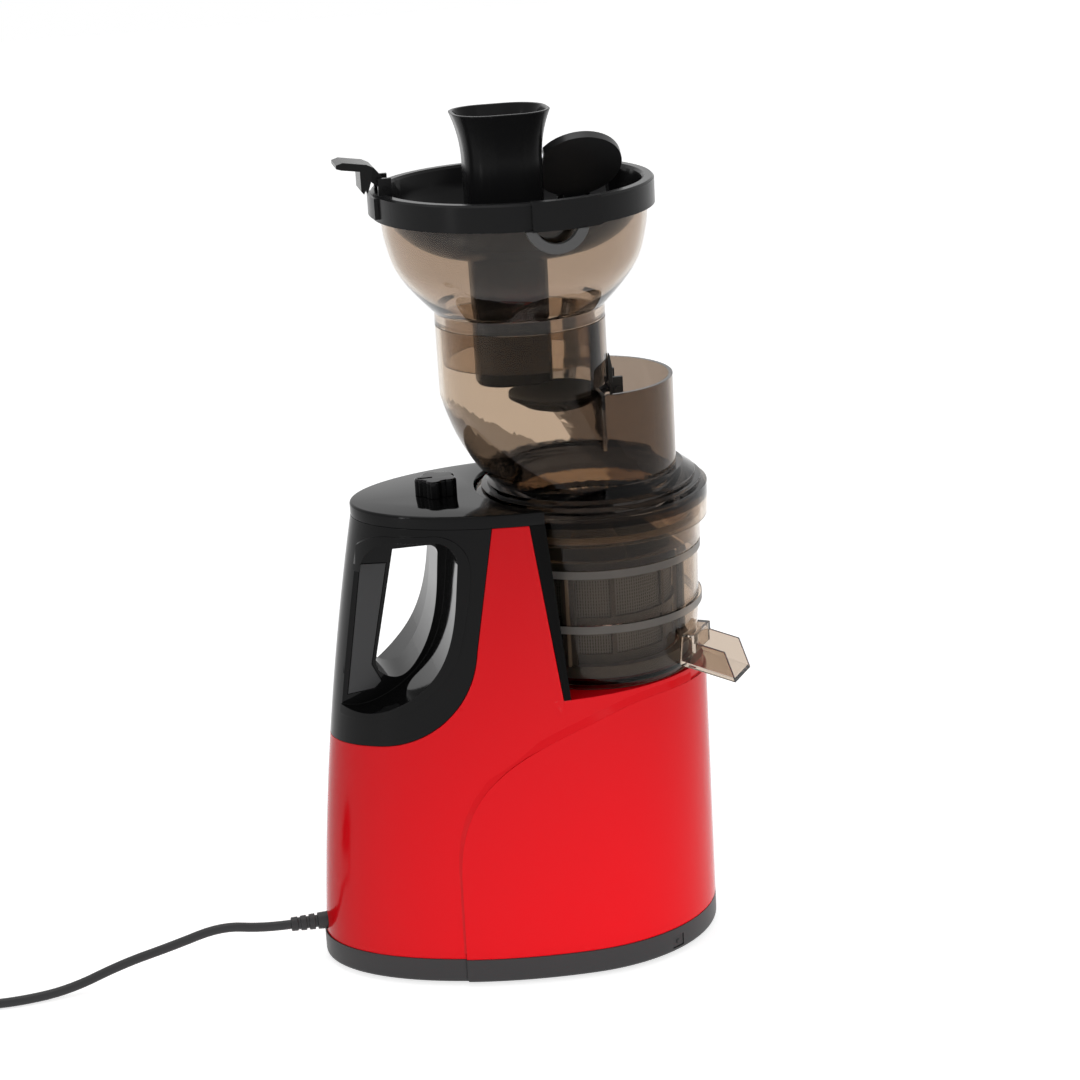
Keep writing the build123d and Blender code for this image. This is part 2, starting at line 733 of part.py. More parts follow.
with BuildPart() as gearbox_cover:
    with BuildSketch(Plane.XY.offset(gearbox_top_z)):
        with Locations((0, at(16))):
            RectangleRounded(86, 98, 9)
    extrude(amount=4.0)
    disc(15.5, gearbox_top_z, gearbox_top_z + 16.0)
    disc(12.0, gearbox_top_z, gearbox_top_z + 16.0, mode=Mode.SUBTRACT)
    for x, y in flange_spots:
        disc(2.2, gearbox_top_z, gearbox_top_z + 4.0, x, y, mode=Mode.SUBTRACT)
save(gearbox_cover.part, "gearbox_cover")

with BuildPart() as gearbox_screws:
    for x, y in flange_spots:
        disc(3.6, gearbox_top_z - 7.0, gearbox_top_z - 4.0, x, y)
        disc(2.0, gearbox_top_z - 4.0, 165.0, x, y)
save(gearbox_screws.part, "gearbox_screws")

with BuildPart() as idler_pin:
    disc(3.0, gearbox_floor_z + 4.0, gearbox_top_z, y=idler_y)
save(idler_pin.part, "idler_pin")

with BuildPart() as output_bush:
    ring(12.0 - 0.02, drive_radius + running_gap, gearbox_top_z, gearbox_top_z + 16.0)
save(output_bush.part, "output_bush")

with BuildPart() as shaft_seal:
    ring(12.0 - 0.02, drive_radius + running_gap, deck_z - wall - 3.0, deck_z + 1.2)
    ring(14.0, 12.0 - 0.02, deck_z - wall - 3.0, deck_z - wall)
save(shaft_seal.part, "shaft_seal")

# Safety switch that the seated drum holds down
with BuildPart() as interlock_switch:
    block(18.0, 9.0, 160.0, deck_z - wall, y=at(interlock_back))
    disc(2.6, 165.0, deck_z, y=at(interlock_back), mode=Mode.SUBTRACT)
save(interlock_switch.part, "interlock_switch")

with BuildPart() as interlock_plunger:
    disc(2.5, 169.0, drum_floor_z - 3.0 - seam, y=at(interlock_back))
    fillet(interlock_plunger.faces().sort_by(Axis.Z)[-1].edges(), radius=0.8)
save(interlock_plunger.part, "interlock_plunger")

with BuildPart() as control_board:
    block(board_width + 3.0, 1.6, 17.0, 72.0, y=at(board_back))
    block(14.0, 12.0, 30.0, 46.0, -16.0, at(board_back) + 6.8)
    block(20.0, 9.0, 28.0, 40.0, 14.0, at(board_back) + 5.3)
    with BuildSketch(Plane.XZ.offset(-at(board_back) - 0.8)):
        with Locations((16, 56), (2, 56)):
            Circle(4.5)
    extrude(amount=-12)
save(control_board.part, "control_board")

# Drum with floor, spindle tube and strainer seat
auger_gear_teeth = 40
planet_teeth = 16
brush_gear_teeth = auger_gear_teeth + 2 * planet_teeth
brush_module = 2 * (drum_foot_radius - 6.0) / brush_gear_teeth
brush_foot_radius = drum_foot_radius - 2.6
gear_low = drum_floor_z + 1.0
gear_high = drum_floor_z + 6.0
planet_distance = (auger_gear_teeth + planet_teeth) * brush_module / 2
planet_angle = 100.0
planet_x, planet_y = around(planet_distance, planet_angle)
tube_bore = 11.0
tube_radius = 14.0
tube_top_z = drum_floor_z + 11.0
pulp_angle = 60.0
pulp_reach = drum_foot_radius + 23.0
plug_radius = 2.6
plug_x, plug_y = around(drum_foot_radius - 6.8, -90 + pulp_angle + 32)


def radial_box(degrees_from_front, near, far, width, low, high, mode):
    """Add or cut a box that points away from the drum's axis; positive degrees turn towards +X."""
    heading = -90 + degrees_from_front
    x, y = around((near + far) / 2, heading)
    with BuildSketch(Plane.XY.offset(low)) as section:
        with Locations(Location((x, y, 0), (0, 0, heading))):
            Rectangle(far - near, width)
    extrude(section.sketch, amount=high - low, mode=mode)


with BuildPart() as drum:
    turned([
        (drum_foot_radius - wall, deck_z + seam), (drum_foot_radius, deck_z + seam),
        (drum_foot_radius + 1.5, drum_floor_z + 2), (drum_waist_radius, drum_waist_z),
        (drum_waist_radius + 1, drum_collar_z - 4), (drum_collar_radius, drum_collar_z),
        (drum_collar_radius, drum_rim_z), (drum_bore_radius, drum_rim_z),
        (drum_bore_radius, drum_collar_z - 4), (drum_waist_radius - wall, drum_waist_z),
        (drum_foot_radius - 1.2, drum_floor_z), (tube_radius, drum_floor_z), (tube_radius, tube_top_z),
        (tube_bore, tube_top_z), (tube_bore, drum_floor_z - 3), (drum_foot_radius - wall, drum_floor_z - 3),
    ])
    ring(strainer_radius + 0.7, strainer_radius - 3.8, drum_floor_z, gear_high + 1.2)
    disc(planet_teeth * brush_module / 2 + 2.4, drum_floor_z, gear_high + 1.2, planet_x, planet_y,
         mode=Mode.SUBTRACT)
    disc(2.5, drum_floor_z, gear_high, planet_x, planet_y)
    for ridge in (drum_floor_z + 35, drum_floor_z + 70):
        ring(drum_collar_radius - 0.6, drum_waist_radius - 1.0, ridge - drum_ridge_height / 2,
             ridge + drum_ridge_height / 2)
    radial_box(-spout_angle, brush_radius, 80, spout_width - 2 * spout_wall - 1, drum_floor_z + 0.6,
               drum_floor_z + 13.0, Mode.SUBTRACT)
    radial_box(pulp_angle, brush_radius, 80, 20.0, drum_floor_z + 9.0, drum_floor_z + 24.0, Mode.SUBTRACT)
    disc(plug_radius, drum_floor_z - 3.0, drum_floor_z, plug_x, plug_y, mode=Mode.SUBTRACT)
save(drum.part, "drum")

with BuildPart() as pulp_plug:
    disc(plug_radius - 0.02, drum_floor_z - 3.0, drum_floor_z + 0.4, plug_x, plug_y)
    disc(plug_radius + 1.2, drum_floor_z - 4.2, drum_floor_z - 3.0, plug_x, plug_y)
save(pulp_plug.part, "pulp_plug")

with BuildPart() as drum_seal:
    ring(tube_radius + 4.0, tube_bore + 0.2, drum_floor_z - 4.3, drum_floor_z - 3.0)
save(drum_seal.part, "drum_seal")

# Spouts, each built along its own heading
spout_root = drum_foot_radius - 2.0
spout_top_root = drum_floor_z + 17.0
spout_fall = math.tan(math.radians(spout_slope))
spout_tip_z = spout_top_root - (spout_reach - spout_root) * spout_fall - spout_height - 0.5
hood_reach = 12.0
hood_height = 12.0


def spout_plane(degrees_from_front, distance, height, slope):
    """A plane across a spout: its x runs sideways, its y up, and it faces out along the spout."""
    heading = math.radians(-90 + degrees_from_front)
    out = Vector(math.cos(heading), math.sin(heading), 0)
    fall = math.radians(slope)
    facing = Vector(out.X * math.cos(fall), out.Y * math.cos(fall), -math.sin(fall))
    sideways = Vector(-out.Y, out.X, 0)
    origin = (out.X * distance, drum_y + out.Y * distance, height)
    return Plane(origin=origin, x_dir=sideways, z_dir=facing)


def clear_of_drum():
    """Cut the open part back to the drum's outside."""
    turned([(0, 0), (drum_foot_radius + 1.5 + seam, 0), (drum_foot_radius + 1.5 + seam, drum_floor_z + 2),
            (drum_waist_radius + seam, drum_waist_z), (drum_waist_radius + seam, 400), (0, 400)],
           mode=Mode.SUBTRACT)


with BuildPart() as juice_spout:
    with BuildSketch(spout_plane(-spout_angle, spout_root, spout_top_root, spout_slope)):
        with Locations((0, -spout_height / 2)):
            Rectangle(spout_width, spout_height)
        with Locations((0, -spout_height / 2 + spout_wall)):
            Rectangle(spout_width - 2 * spout_wall, spout_height, mode=Mode.SUBTRACT)
    extrude(amount=60)
    with BuildSketch(spout_plane(-spout_angle, spout_reach, spout_tip_z, -spout_rake)):
        Rectangle(90, 160)
    extrude(amount=80, mode=Mode.SUBTRACT)
    hood_low = spout_top_root + 2.5 - hood_height
    radial_box(-spout_angle, spout_root, drum_waist_radius + hood_reach / 2, spout_width, hood_low,
               hood_low + hood_height, Mode.ADD)
    radial_box(-spout_angle, spout_root - 5, drum_waist_radius + hood_reach / 2 - spout_wall,
               spout_width - 2 * spout_wall, hood_low - 5, hood_low + hood_height - spout_wall, Mode.SUBTRACT)
    clear_of_drum()
save(juice_spout.part, "juice_spout")

with BuildPart() as pulp_spout:
    with BuildSketch(spout_plane(pulp_angle, spout_root, drum_floor_z + 28.0, 10)):
        with Locations((0, -11.5)):
            Rectangle(26, 23)
            Rectangle(26 - 2 * spout_wall, 23 - 2 * spout_wall, mode=Mode.SUBTRACT)
    extrude(amount=40)
    radial_box(pulp_angle, pulp_reach, 200, 90, 0, 400, Mode.SUBTRACT)
    clear_of_drum()
save(pulp_spout.part, "pulp_spout")

# Strainer basket: moulded frame and etched steel screen inside it
strainer_low = gear_high + 1.5
rib_count = 8
strainer_bands = ((strainer_low, strainer_low + 6), (deck_z + 38, deck_z + 43),
                  (strainer_top_z - 9, strainer_top_z))

with BuildPart() as strainer_frame:
    for low, high in strainer_bands:
        ring(strainer_radius, strainer_radius - strainer_wall, low, high)
    for rib in range(rib_count):
        with BuildSketch(Plane.XY.offset(strainer_low)):
            with Locations(Location((*around(strainer_radius - strainer_wall / 2, rib * 360 / rib_count), 0),
                                    (0, 0, rib * 360 / rib_count))):
                Rectangle(strainer_wall - 0.3, 3.0)
        extrude(amount=strainer_top_z - strainer_low)
save(strainer_frame.part, "strainer_frame")

with BuildPart() as strainer_mesh:
    ring(strainer_radius - strainer_wall - 0.05, strainer_radius - strainer_wall - 0.05 - mesh_wall,
         strainer_low, strainer_top_z - 1)
save(strainer_mesh.part, "strainer_mesh")

# Brush cage: turned by an inside ring gear, with silicone wipers through its posts
brush_outer = brush_radius + brush_wall
brush_mesh_turn = 180 + planet_angle
blade_thickness = 1.6

with BuildPart() as brush_frame:
    ring(brush_foot_radius, brush_radius + 0.2, gear_low, gear_high)
    with BuildSketch(Plane.XY.offset(gear_low)):
        gear_outline(brush_gear_teeth, brush_module, planet_angle + 180 / brush_gear_teeth, tip=1.2, root=0.8,
                     backlash=0.3, outward=-1.0)
    extrude(amount=gear_high - gear_low, mode=Mode.SUBTRACT)
    ring(brush_foot_radius, brush_radius - 0.6, gear_high, gear_high + 2.4)
    ring(brush_outer, brush_radius, brush_top_z - 4, brush_top_z)
    for post in range(3):
        heading = 30 + 120 * post
        with BuildSketch(Plane.XY.offset(gear_high + 2.4)):
            with Locations(Location((*around(brush_radius + brush_wall / 2, heading), 0), (0, 0, heading))):
                Rectangle(brush_wall - 0.4, 8.0)
                Rectangle(brush_wall + 2, blade_thickness, mode=Mode.SUBTRACT)
        extrude(amount=brush_top_z - gear_high - 2.4 - 4)
save(brush_frame.part, "brush_frame")

with BuildPart() as brush_blades:
    for post in range(3):
        heading = 30 + 120 * post
        with BuildSketch(Plane.XY.offset(gear_high + 2.4)):
            with Locations(Location((*around(brush_radius + 1.4, heading), 0), (0, 0, heading))):
                Rectangle(7.8, blade_thickness)
        extrude(amount=brush_top_z - gear_high - 2.4 - 4)
save(brush_blades.part, "brush_blades")

with BuildPart() as planet_gear:
    with BuildSketch(Plane.XY.offset(gear_low)):
        gear_outline(planet_teeth, brush_module, planet_angle + 180 + 180 / planet_teeth, planet_y, planet_x,
                     backlash=0.2)
    extrude(amount=gear_high - gear_low)
    disc(2.5 + running_gap, gear_low, gear_high, planet_x, planet_y, mode=Mode.SUBTRACT)
save(planet_gear.part, "planet_gear")

# Auger: gear foot, cone core and one helical flight
with BuildPart() as auger:
    with BuildSketch(Plane.XY.offset(gear_low)):
        gear_outline(auger_gear_teeth, brush_module, planet_angle, backlash=0.2)
    extrude(amount=gear_high - gear_low)
    turned([(0, gear_high), (28.0, gear_high), (28.0, gear_high + 3), (auger_core_radius + 3, gear_high + 10),
            (auger_core_radius - 3, auger_top_z - 14), (9.0, auger_top_z), (0, auger_top_z)])
    with BuildLine(Plane(origin=(0, drum_y, gear_high + 6))) as flight_path:
        Helix(pitch=auger_pitch, height=52.0, radius=auger_core_radius - 4)
    flight_start = Plane(origin=flight_path.line @ 0, x_dir=(1, 0, 0), z_dir=flight_path.line % 0)
    with BuildSketch(flight_start):
        with Locations(((auger_radius - auger_core_radius + 4) / 2, 0)):
            Rectangle(auger_radius - auger_core_radius + 4, 5.0)
    sweep(path=flight_path.line, is_frenet=True)
    disc(tube_radius + 0.8, gear_low - 1, tube_top_z + 1.0, mode=Mode.SUBTRACT)
    disc(10.2, tube_top_z, drum_floor_z + 35.0, mode=Mode.SUBTRACT)
save(auger.part, "auger")

with BuildPart() as auger_socket:
    disc(10.2 - 0.02, drum_floor_z - 1.0, drum_floor_z + 35.0)
    with BuildSketch(Plane.XY.offset(drum_floor_z - 1.0)):
        with Locations((0, drum_y)):
            RegularPolygon(hex_flats / 2 + 0.15, 6, major_radius=False)
    extrude(amount=19.0, mode=Mode.SUBTRACT)
save(auger_socket.part, "auger_socket")

# Lid: stepped dome, front cup, elbow and chute moulded in one
elbow_stations = (
    (lid_skirt_z + 26.0, 2.5, 57.0),
    (lid_skirt_z + 42.0, 14.0, 58.5),
    (lid_skirt_z + 60.0, 26.0, 56.5),
    (lid_skirt_z + 86.0, feed_back, chute_radius),
)


def elbow_form(inset):
    """Loft the sloping throat from above the drum to the chute in the open part."""
    rings = []
    for height, back, radius in elbow_stations:
        with BuildSketch(Plane.XY.offset(height)) as section:
            with Locations((0, at(back))):
                Circle(radius - inset)
        rings.append(section.sketch)
    loft(rings)


with BuildPart() as throat_hollow:
    elbow_form(wall)

with BuildPart() as lid:
    elbow_form(0.0)
    disc(chute_radius, elbow_stations[-1][0], chute_top_z, y=feed_y)
    with BuildSketch(Plane.XY.offset(elbow_stations[0][0])):
        with Locations((0, drum_y)):
            Circle(cup_radius)
        with Locations((0, at(2.0 - 100))):
            Rectangle(200, 200, mode=Mode.INTERSECT)
    extrude(amount=cup_top_z - elbow_stations[0][0])
    turned([
        (0, drum_rim_z + seam), (lid_radius - wall, drum_rim_z + seam), (lid_radius - wall, lid_skirt_z),
        (lid_radius - 0.6, lid_skirt_z), (lid_radius, lid_skirt_z + 12), (lid_radius, lid_skirt_z + 20.5),
        (lid_radius - 3.6, lid_skirt_z + 21.2), (lid_radius - 3.6, lid_skirt_z + 24.2),
        (lid_radius - 7.2, lid_skirt_z + 24.8), (lid_radius - 7.2, lid_skirt_z + 27.6),
        (57.5, lid_skirt_z + 33.0), (0, lid_skirt_z + 33.0),
    ])
    ring(drum_bore_radius - 1.2, drum_bore_radius - 3.8, lid_skirt_z - 12, drum_rim_z + seam)
    add(throat_hollow.part, mode=Mode.SUBTRACT)
    disc(chute_radius - wall, elbow_stations[-1][0], chute_top_z, y=feed_y, mode=Mode.SUBTRACT)
    with BuildSketch(Plane.XY.offset(elbow_stations[0][0])):
        with Locations((0, drum_y)):
            Circle(cup_radius - wall)
        with Locations((0, at(2.0 - wall - 100))):
            Rectangle(200, 200, mode=Mode.INTERSECT)
    extrude(amount=cup_top_z - elbow_stations[0][0], mode=Mode.SUBTRACT)
    disc(cup_radius - wall, drum_rim_z, elbow_stations[0][0], mode=Mode.SUBTRACT)
save(lid.part, "lid")

with BuildPart() as lid_seal:
    ring(drum_bore_radius - 0.2, drum_bore_radius - 1.18, lid_skirt_z, lid_skirt_z + 4)
save(lid_seal.part, "lid_seal")

# Flip gate under the chute, hung in a bracket on the chute's front wall
gate_axis_back = feed_back - chute_radius - 3.6
gate_axis_z = cup_top_z - 7.0
gate_radius = 30.0

with BuildPart() as gate_bracket:
    with BuildSketch(Plane.XY.offset(cup_top_z - 2.4)):
        with Locations((0, at(feed_back))):
            Circle(chute_radius + 2.6)
            Circle(chute_radius + seam, mode=Mode.SUBTRACT)
        with Locations((0, at(feed_back - chute_radius))):
            Rectangle(30.0, 16.0, mode=Mode.INTERSECT)
    extrude(amount=18.4)
    side_prism([(-60, cup_top_z), (-14.5, cup_top_z + 2), (-12.0, cup_top_z + 17), (-60, cup_top_z + 17)],
               mode=Mode.SUBTRACT)
    for side in (-1, 1):
        block(3.0, 8.0, gate_axis_z - 3.5, cup_top_z + 0.5, side * 12.0, at(gate_axis_back + 0.4))
    with BuildSketch(Plane.YZ.offset(-20)):
        with Locations((at(gate_axis_back), gate_axis_z)):
            Circle(2.0 + running_gap)
    extrude(amount=40, mode=Mode.SUBTRACT)
save(gate_bracket.part, "gate_bracket")

with BuildPart() as flip_gate:
    with BuildSketch(Plane.YZ.offset(-15)):
        with Locations((at(gate_axis_back), gate_axis_z)):
            Circle(2.0)
    extrude(amount=30)
    with BuildSketch(Plane.YZ.offset(-9.5)):
        with Locations((at(gate_axis_back), gate_axis_z)):
            Circle(3.6)
        with Locations((at(gate_axis_back + 6), gate_axis_z - 1.0)):
            Rectangle(12, 2.4)
    extrude(amount=19)
    turned([(0, gate_axis_z - 12.4), (10, gate_axis_z - 11.6), (20, gate_axis_z - 8.4),
            (gate_radius, gate_axis_z - 2.4), (gate_radius, gate_axis_z), (20, gate_axis_z - 6.0),
            (10, gate_axis_z - 9.2), (0, gate_axis_z - 10.0)],
           axis_y=at(gate_axis_back + gate_radius + 5.0))
save(flip_gate.part, "flip_gate")

# Hopper bowl, its neck dropped into the chute; its wall widens in one curve up to the rim
bowl_rim_z = hopper_top_z - 13.0
bowl_radius = hopper_ring_radius - 4.8
neck_radius = chute_radius - wall - 0.9
bowl_curve = ((0.30, 17), (0.59, 27), (0.80, 37), (0.91, 47), (0.98, 57))
feed_plane = Plane(origin=(0, feed_y, 0), x_dir=(1, 0, 0), z_dir=(0, -1, 0))
feed_axis = Axis((0, feed_y, 0), (0, 0, 1))


def bowl_points(inset):
    """Places up the bowl's wall, moved inwards by a wall thickness."""
    return [(chute_radius + (bowl_radius - chute_radius) * share - inset * (0.6 + 0.4 * share),
             chute_top_z + rise + 1.1 * inset * (1 - share)) for share, rise in bowl_curve]


with BuildPart() as hopper_bowl:
    with BuildSketch(feed_plane):
        with BuildLine():
            outside = Spline((chute_radius, chute_top_z + 8), *bowl_points(0), (bowl_radius, bowl_rim_z))
            inside = Spline((chute_radius - wall, chute_top_z + 10.5), *bowl_points(wall),
                            (bowl_radius - wall, bowl_rim_z))
            Line(outside @ 1, inside @ 1)
            Polyline(outside @ 0, (chute_radius, chute_top_z + seam), (neck_radius, chute_top_z + seam),
                     (neck_radius, chute_top_z - 24), (neck_radius - wall, chute_top_z - 24),
                     (neck_radius - wall, chute_top_z + 8), inside @ 0)
        make_face()
    revolve(axis=feed_axis)
save(hopper_bowl.part, "hopper_bowl")

# Tray: ring, round dish, pusher collar and the flap's raised port
pusher_y = feed_y + pusher_back
flap_y = feed_y - flap_forward
tray_wall = 2.2
ring_low_z = hopper_top_z - hopper_ring_height
flap_hinge_x = flap_radius + 3.0
flap_hinge_z = tray_floor_z + port_height + 2.0
latch_y = feed_y + hopper_ring_radius - 7.0
latch_z = hopper_top_z + 3.2
lug_reach = 4.4
catch_reach = 2.2

with BuildPart() as hopper_tray:
    disc(port_radius + 2.0, tray_floor_z - tray_wall, tray_floor_z + port_height, y=flap_y)
    for side in (-1, 1):
        block(4.6, 3.0, tray_floor_z - tray_wall, flap_hinge_z + 2.6, flap_hinge_x, flap_y + side * 8.5)
    block(10.0, 8.0, tray_floor_z, hopper_top_z - 3.0, 32.0, feed_y - hopper_ring_radius + 16.3)
    with BuildSketch(feed_plane):
        with BuildLine():
            dish_low = TangentArc((tray_flat_radius, tray_floor_z - tray_wall),
                                  (hopper_ring_radius - 7.8, bowl_rim_z - 2), tangent=(1, 0))
            Polyline(dish_low @ 1, (hopper_ring_radius - 7.8, bowl_rim_z + seam),
                     (hopper_ring_radius - 2.4, bowl_rim_z + seam),
                     (hopper_ring_radius - 2.4, tray_floor_z - 20), (0, tray_floor_z - 20),
                     (0, tray_floor_z - tray_wall), dish_low @ 0)
        make_face()
    revolve(axis=feed_axis, mode=Mode.SUBTRACT)
    with BuildSketch(feed_plane):
        with BuildLine():
            dish_edge = TangentArc((tray_flat_radius, tray_floor_z - tray_wall),
                                   (hopper_ring_radius - 7.8, bowl_rim_z - 2), tangent=(1, 0))
            dish_high = TangentArc((tray_flat_radius, tray_floor_z),
                                   (hopper_ring_radius - 9.9, bowl_rim_z - 1.2), tangent=(1, 0))
            Polyline(dish_edge @ 1, (hopper_ring_radius - 7.8, bowl_rim_z + seam),
                     (hopper_ring_radius - 2.4, bowl_rim_z + seam), (hopper_ring_radius - 2.4, ring_low_z),
                     (hopper_ring_radius, ring_low_z), (hopper_ring_radius, hopper_top_z - 1.2),
                     (hopper_ring_radius - 1.2, hopper_top_z), (hopper_ring_radius - 6.0, hopper_top_z),
                     (hopper_ring_radius - 7.4, hopper_top_z - 1.6), dish_high @ 1)
            Polyline(dish_high @ 0, (0, tray_floor_z), (0, tray_floor_z - tray_wall), dish_edge @ 0)
        make_face()
    revolve(axis=feed_axis)
    with BuildSketch(Plane.XY.offset(ring_low_z)):
        with Locations((0, feed_y)):
            Circle(hopper_ring_radius + lug_reach)
            Circle(hopper_ring_radius - 1, mode=Mode.SUBTRACT)
        with Locations((-hopper_ring_radius, feed_y - 16)):
            RectangleRounded(40, 42, 6, mode=Mode.INTERSECT)
    extrude(amount=hopper_ring_height + 1.2)
    with BuildSketch(Plane.XY.offset(ring_low_z + 2.0)):
        with Locations((0, feed_y)):
            Circle(hopper_ring_radius + catch_reach)
            Circle(hopper_ring_radius - 1, mode=Mode.SUBTRACT)
        with Locations((0, feed_y + hopper_ring_radius)):
            Rectangle(32, 40, mode=Mode.INTERSECT)
    extrude(amount=hopper_ring_height - 3.5)
    with BuildSketch(Plane.XY.offset(tray_floor_z - tray_wall)):
        with Locations((0, pusher_y)):
            RectangleRounded(pusher_depth + 5.4, pusher_width + 5.4, 19.5)
    extrude(amount=tray_wall + 8.0)
    disc(port_radius, tray_floor_z - tray_wall - 1, hopper_top_z, y=flap_y, mode=Mode.SUBTRACT)
    with BuildSketch(Plane.XY.offset(tray_floor_z - tray_wall - 1)):
        with Locations((0, pusher_y)):
            RectangleRounded(pusher_depth + 2.4, pusher_width + 2.4, 18)
    extrude(amount=40, mode=Mode.SUBTRACT)
    with BuildSketch(Plane.XZ.offset(-flap_y - 12)):
        with Locations((flap_hinge_x, flap_hinge_z)):
            Circle(1.5 + running_gap)
    extrude(amount=24, mode=Mode.SUBTRACT)
    for side in (-1, 1):
        block(3.0, 8.0, hopper_top_z - 2.0, latch_z + 6.0, side * 9.5, latch_y)
    with BuildSketch(Plane.YZ.offset(-20)):
        with Locations((latch_y, latch_z)):
            Circle(1.5 + running_gap)
    extrude(amount=40, mode=Mode.SUBTRACT)
save(hopper_tray.part, "hopper_tray")

with BuildPart() as finger_loop:
    with BuildSketch(Plane.YZ.offset(-hopper_ring_radius - 2.4)):
        with Locations((feed_y - 9.5, ring_low_z + 5.0)):
            Circle(19.0)
            Circle(13.0, mode=Mode.SUBTRACT)
            with Locations((0, 15)):
                Rectangle(60, 40, mode=Mode.SUBTRACT)
    extrude(amount=4.0)
save(finger_loop.part, "finger_loop")

# Round flap over the tray's port, stored standing open, cut straight beside the pusher
flap_turn = math.radians(flap_open)
flap_along = Vector(-math.cos(flap_turn), 0, math.sin(flap_turn))
flap_normal = Vector(math.sin(flap_turn), 0, math.cos(flap_turn))
flap_center = Vector(flap_hinge_x, flap_y, flap_hinge_z) + flap_along * (flap_radius + 3.0)
flap_plane = Plane(origin=flap_center - flap_normal * 1.0, x_dir=flap_along, z_dir=flap_normal)
flap_cut_y = pusher_y - pusher_width / 2 - 2.4

with BuildPart() as tray_flap:
    with BuildSketch(flap_plane):
        Circle(flap_radius)
    extrude(amount=2.0)
    with BuildSketch(flap_plane.offset(2.0)):
        Circle(flap_radius)
        Circle(flap_radius - 1.8, mode=Mode.SUBTRACT)
    extrude(amount=3.0)
    block(200, 40, tray_floor_z, pusher_top_z + 20, y=flap_cut_y + 20, mode=Mode.SUBTRACT)
    with BuildSketch(flap_plane):
        with Locations((-flap_radius - 0.6, 0)):
            Rectangle(5.4, 13.0)
    extrude(amount=2.0)
    with BuildSketch(Plane.XZ.offset(-flap_y - 10.2)):
        with Locations((flap_hinge_x, flap_hinge_z)):
            Circle(1.5)
    extrude(amount=20.4)
save(tray_flap.part, "tray_flap")

# Latch lever at the rear: a barrel on its pin, an arm, and a broad plate with a split hook
latch_plate = [(6, 13), (10, 15), (24, 17.2), (28, 16), (28, 13.8), (25, 12.8), (14.2, 11.2), (14.2, -0.5),
               (12.6, -2.5), (11.6, -0.5), (10.4, -2), (9.6, 0), (7.5, 6)]
latch_arm = [(-1, 3), (3, 9.5), (6, 13), (9, 8), (7.5, 4), (0, -2.9)]

with BuildPart() as latch_lever:
    for half_span, outline in ((12.0, latch_plate), (7.5, latch_arm)):
        with BuildSketch(Plane.YZ.offset(-half_span)):
            with BuildLine():
                Polyline(*[(latch_y + back, latch_z + rise) for back, rise in outline], close=True)
            make_face()
        extrude(amount=2 * half_span)
    with BuildSketch(Plane.YZ.offset(-7.5)):
        with Locations((latch_y, latch_z)):
            Circle(3.0)
    extrude(amount=15)
    with BuildSketch(Plane.YZ.offset(-10.6)):
        with Locations((latch_y, latch_z)):
            Circle(1.5)
    extrude(amount=21.2)
save(latch_lever.part, "latch_lever")

# Pusher: a hollow stem with a flared open top
pusher_low_z = cup_top_z + 2.7
with BuildPart() as pusher:
    with BuildSketch(Plane.XY.offset(pusher_low_z)):
        with Locations((0, pusher_y)):
            RectangleRounded(pusher_depth - 1.0, pusher_width - 1.0, 17)
    with BuildSketch(Plane.XY.offset(pusher_top_z - 32)):
        with Locations((0, pusher_y)):
            RectangleRounded(pusher_depth, pusher_width, 17.5)
    loft()
    with BuildSketch(Plane.XY.offset(pusher_top_z - 32)):
        with Locations((0, pusher_y)):
            RectangleRounded(pusher_depth, pusher_width, 17.5)
    with BuildSketch(Plane.XY.offset(pusher_top_z - 14)):
        with Locations((0, pusher_y)):
            RectangleRounded(pusher_depth + 3.0, pusher_width + 3.4, 18.5)
    with BuildSketch(Plane.XY.offset(pusher_top_z)):
        with Locations((0, pusher_y)):
            RectangleRounded(pusher_flare - 4, pusher_flare, 22)
    loft()
    with BuildSketch(Plane.XY.offset(pusher_low_z + wall)):
        with Locations((0, pusher_y)):
            RectangleRounded(pusher_depth - 1.0 - 2 * wall, pusher_width - 1.0 - 2 * wall, 14.4)
    with BuildSketch(Plane.XY.offset(pusher_top_z - 32)):
        with Locations((0, pusher_y)):
            RectangleRounded(pusher_depth - 2 * wall, pusher_width - 2 * wall, 14.9)
    loft(mode=Mode.SUBTRACT)
    with BuildSketch(Plane.XY.offset(pusher_top_z - 32)):
        with Locations((0, pusher_y)):
            RectangleRounded(pusher_depth - 2 * wall, pusher_width - 2 * wall, 14.9)
    with BuildSketch(Plane.XY.offset(pusher_top_z - 14)):
        with Locations((0, pusher_y)):
            RectangleRounded(pusher_depth + 3.0 - 2 * wall, pusher_width + 3.4 - 2 * wall, 15.9)
    with BuildSketch(Plane.XY.offset(pusher_top_z)):
        with Locations((0, pusher_y)):
            RectangleRounded(pusher_flare - 4 - 2 * wall, pusher_flare - 2 * wall, 19.4)
    loft(mode=Mode.SUBTRACT)
save(pusher.part, "pusher")

# Cord: strain relief in the rear wall, lead over the table, put-away coil and plug
relief_start = rear_y - 8.0
relief_end = rear_y + 21.5
with BuildPart() as strain_relief:
    with BuildSketch(Plane.XZ.offset(-relief_start)):
        with Locations((0, cord_exit_z)):
            Circle(exit_radius + 0.9)
    with BuildSketch(Plane.XZ.offset(-relief_end)):
        with Locations((0, cord_exit_z)):
            Circle(cord_radius + 1.4)
    loft()
    for slot in range(3):
        with BuildSketch(Plane.XZ.offset(-(rear_y + 4.5 + 5.5 * slot))):
            with Locations((0, cord_exit_z)):
                Circle(10)
                Circle(cord_radius + 0.9, mode=Mode.SUBTRACT)
        extrude(amount=-1.8, mode=Mode.SUBTRACT)
save(strain_relief.part, "strain_relief")

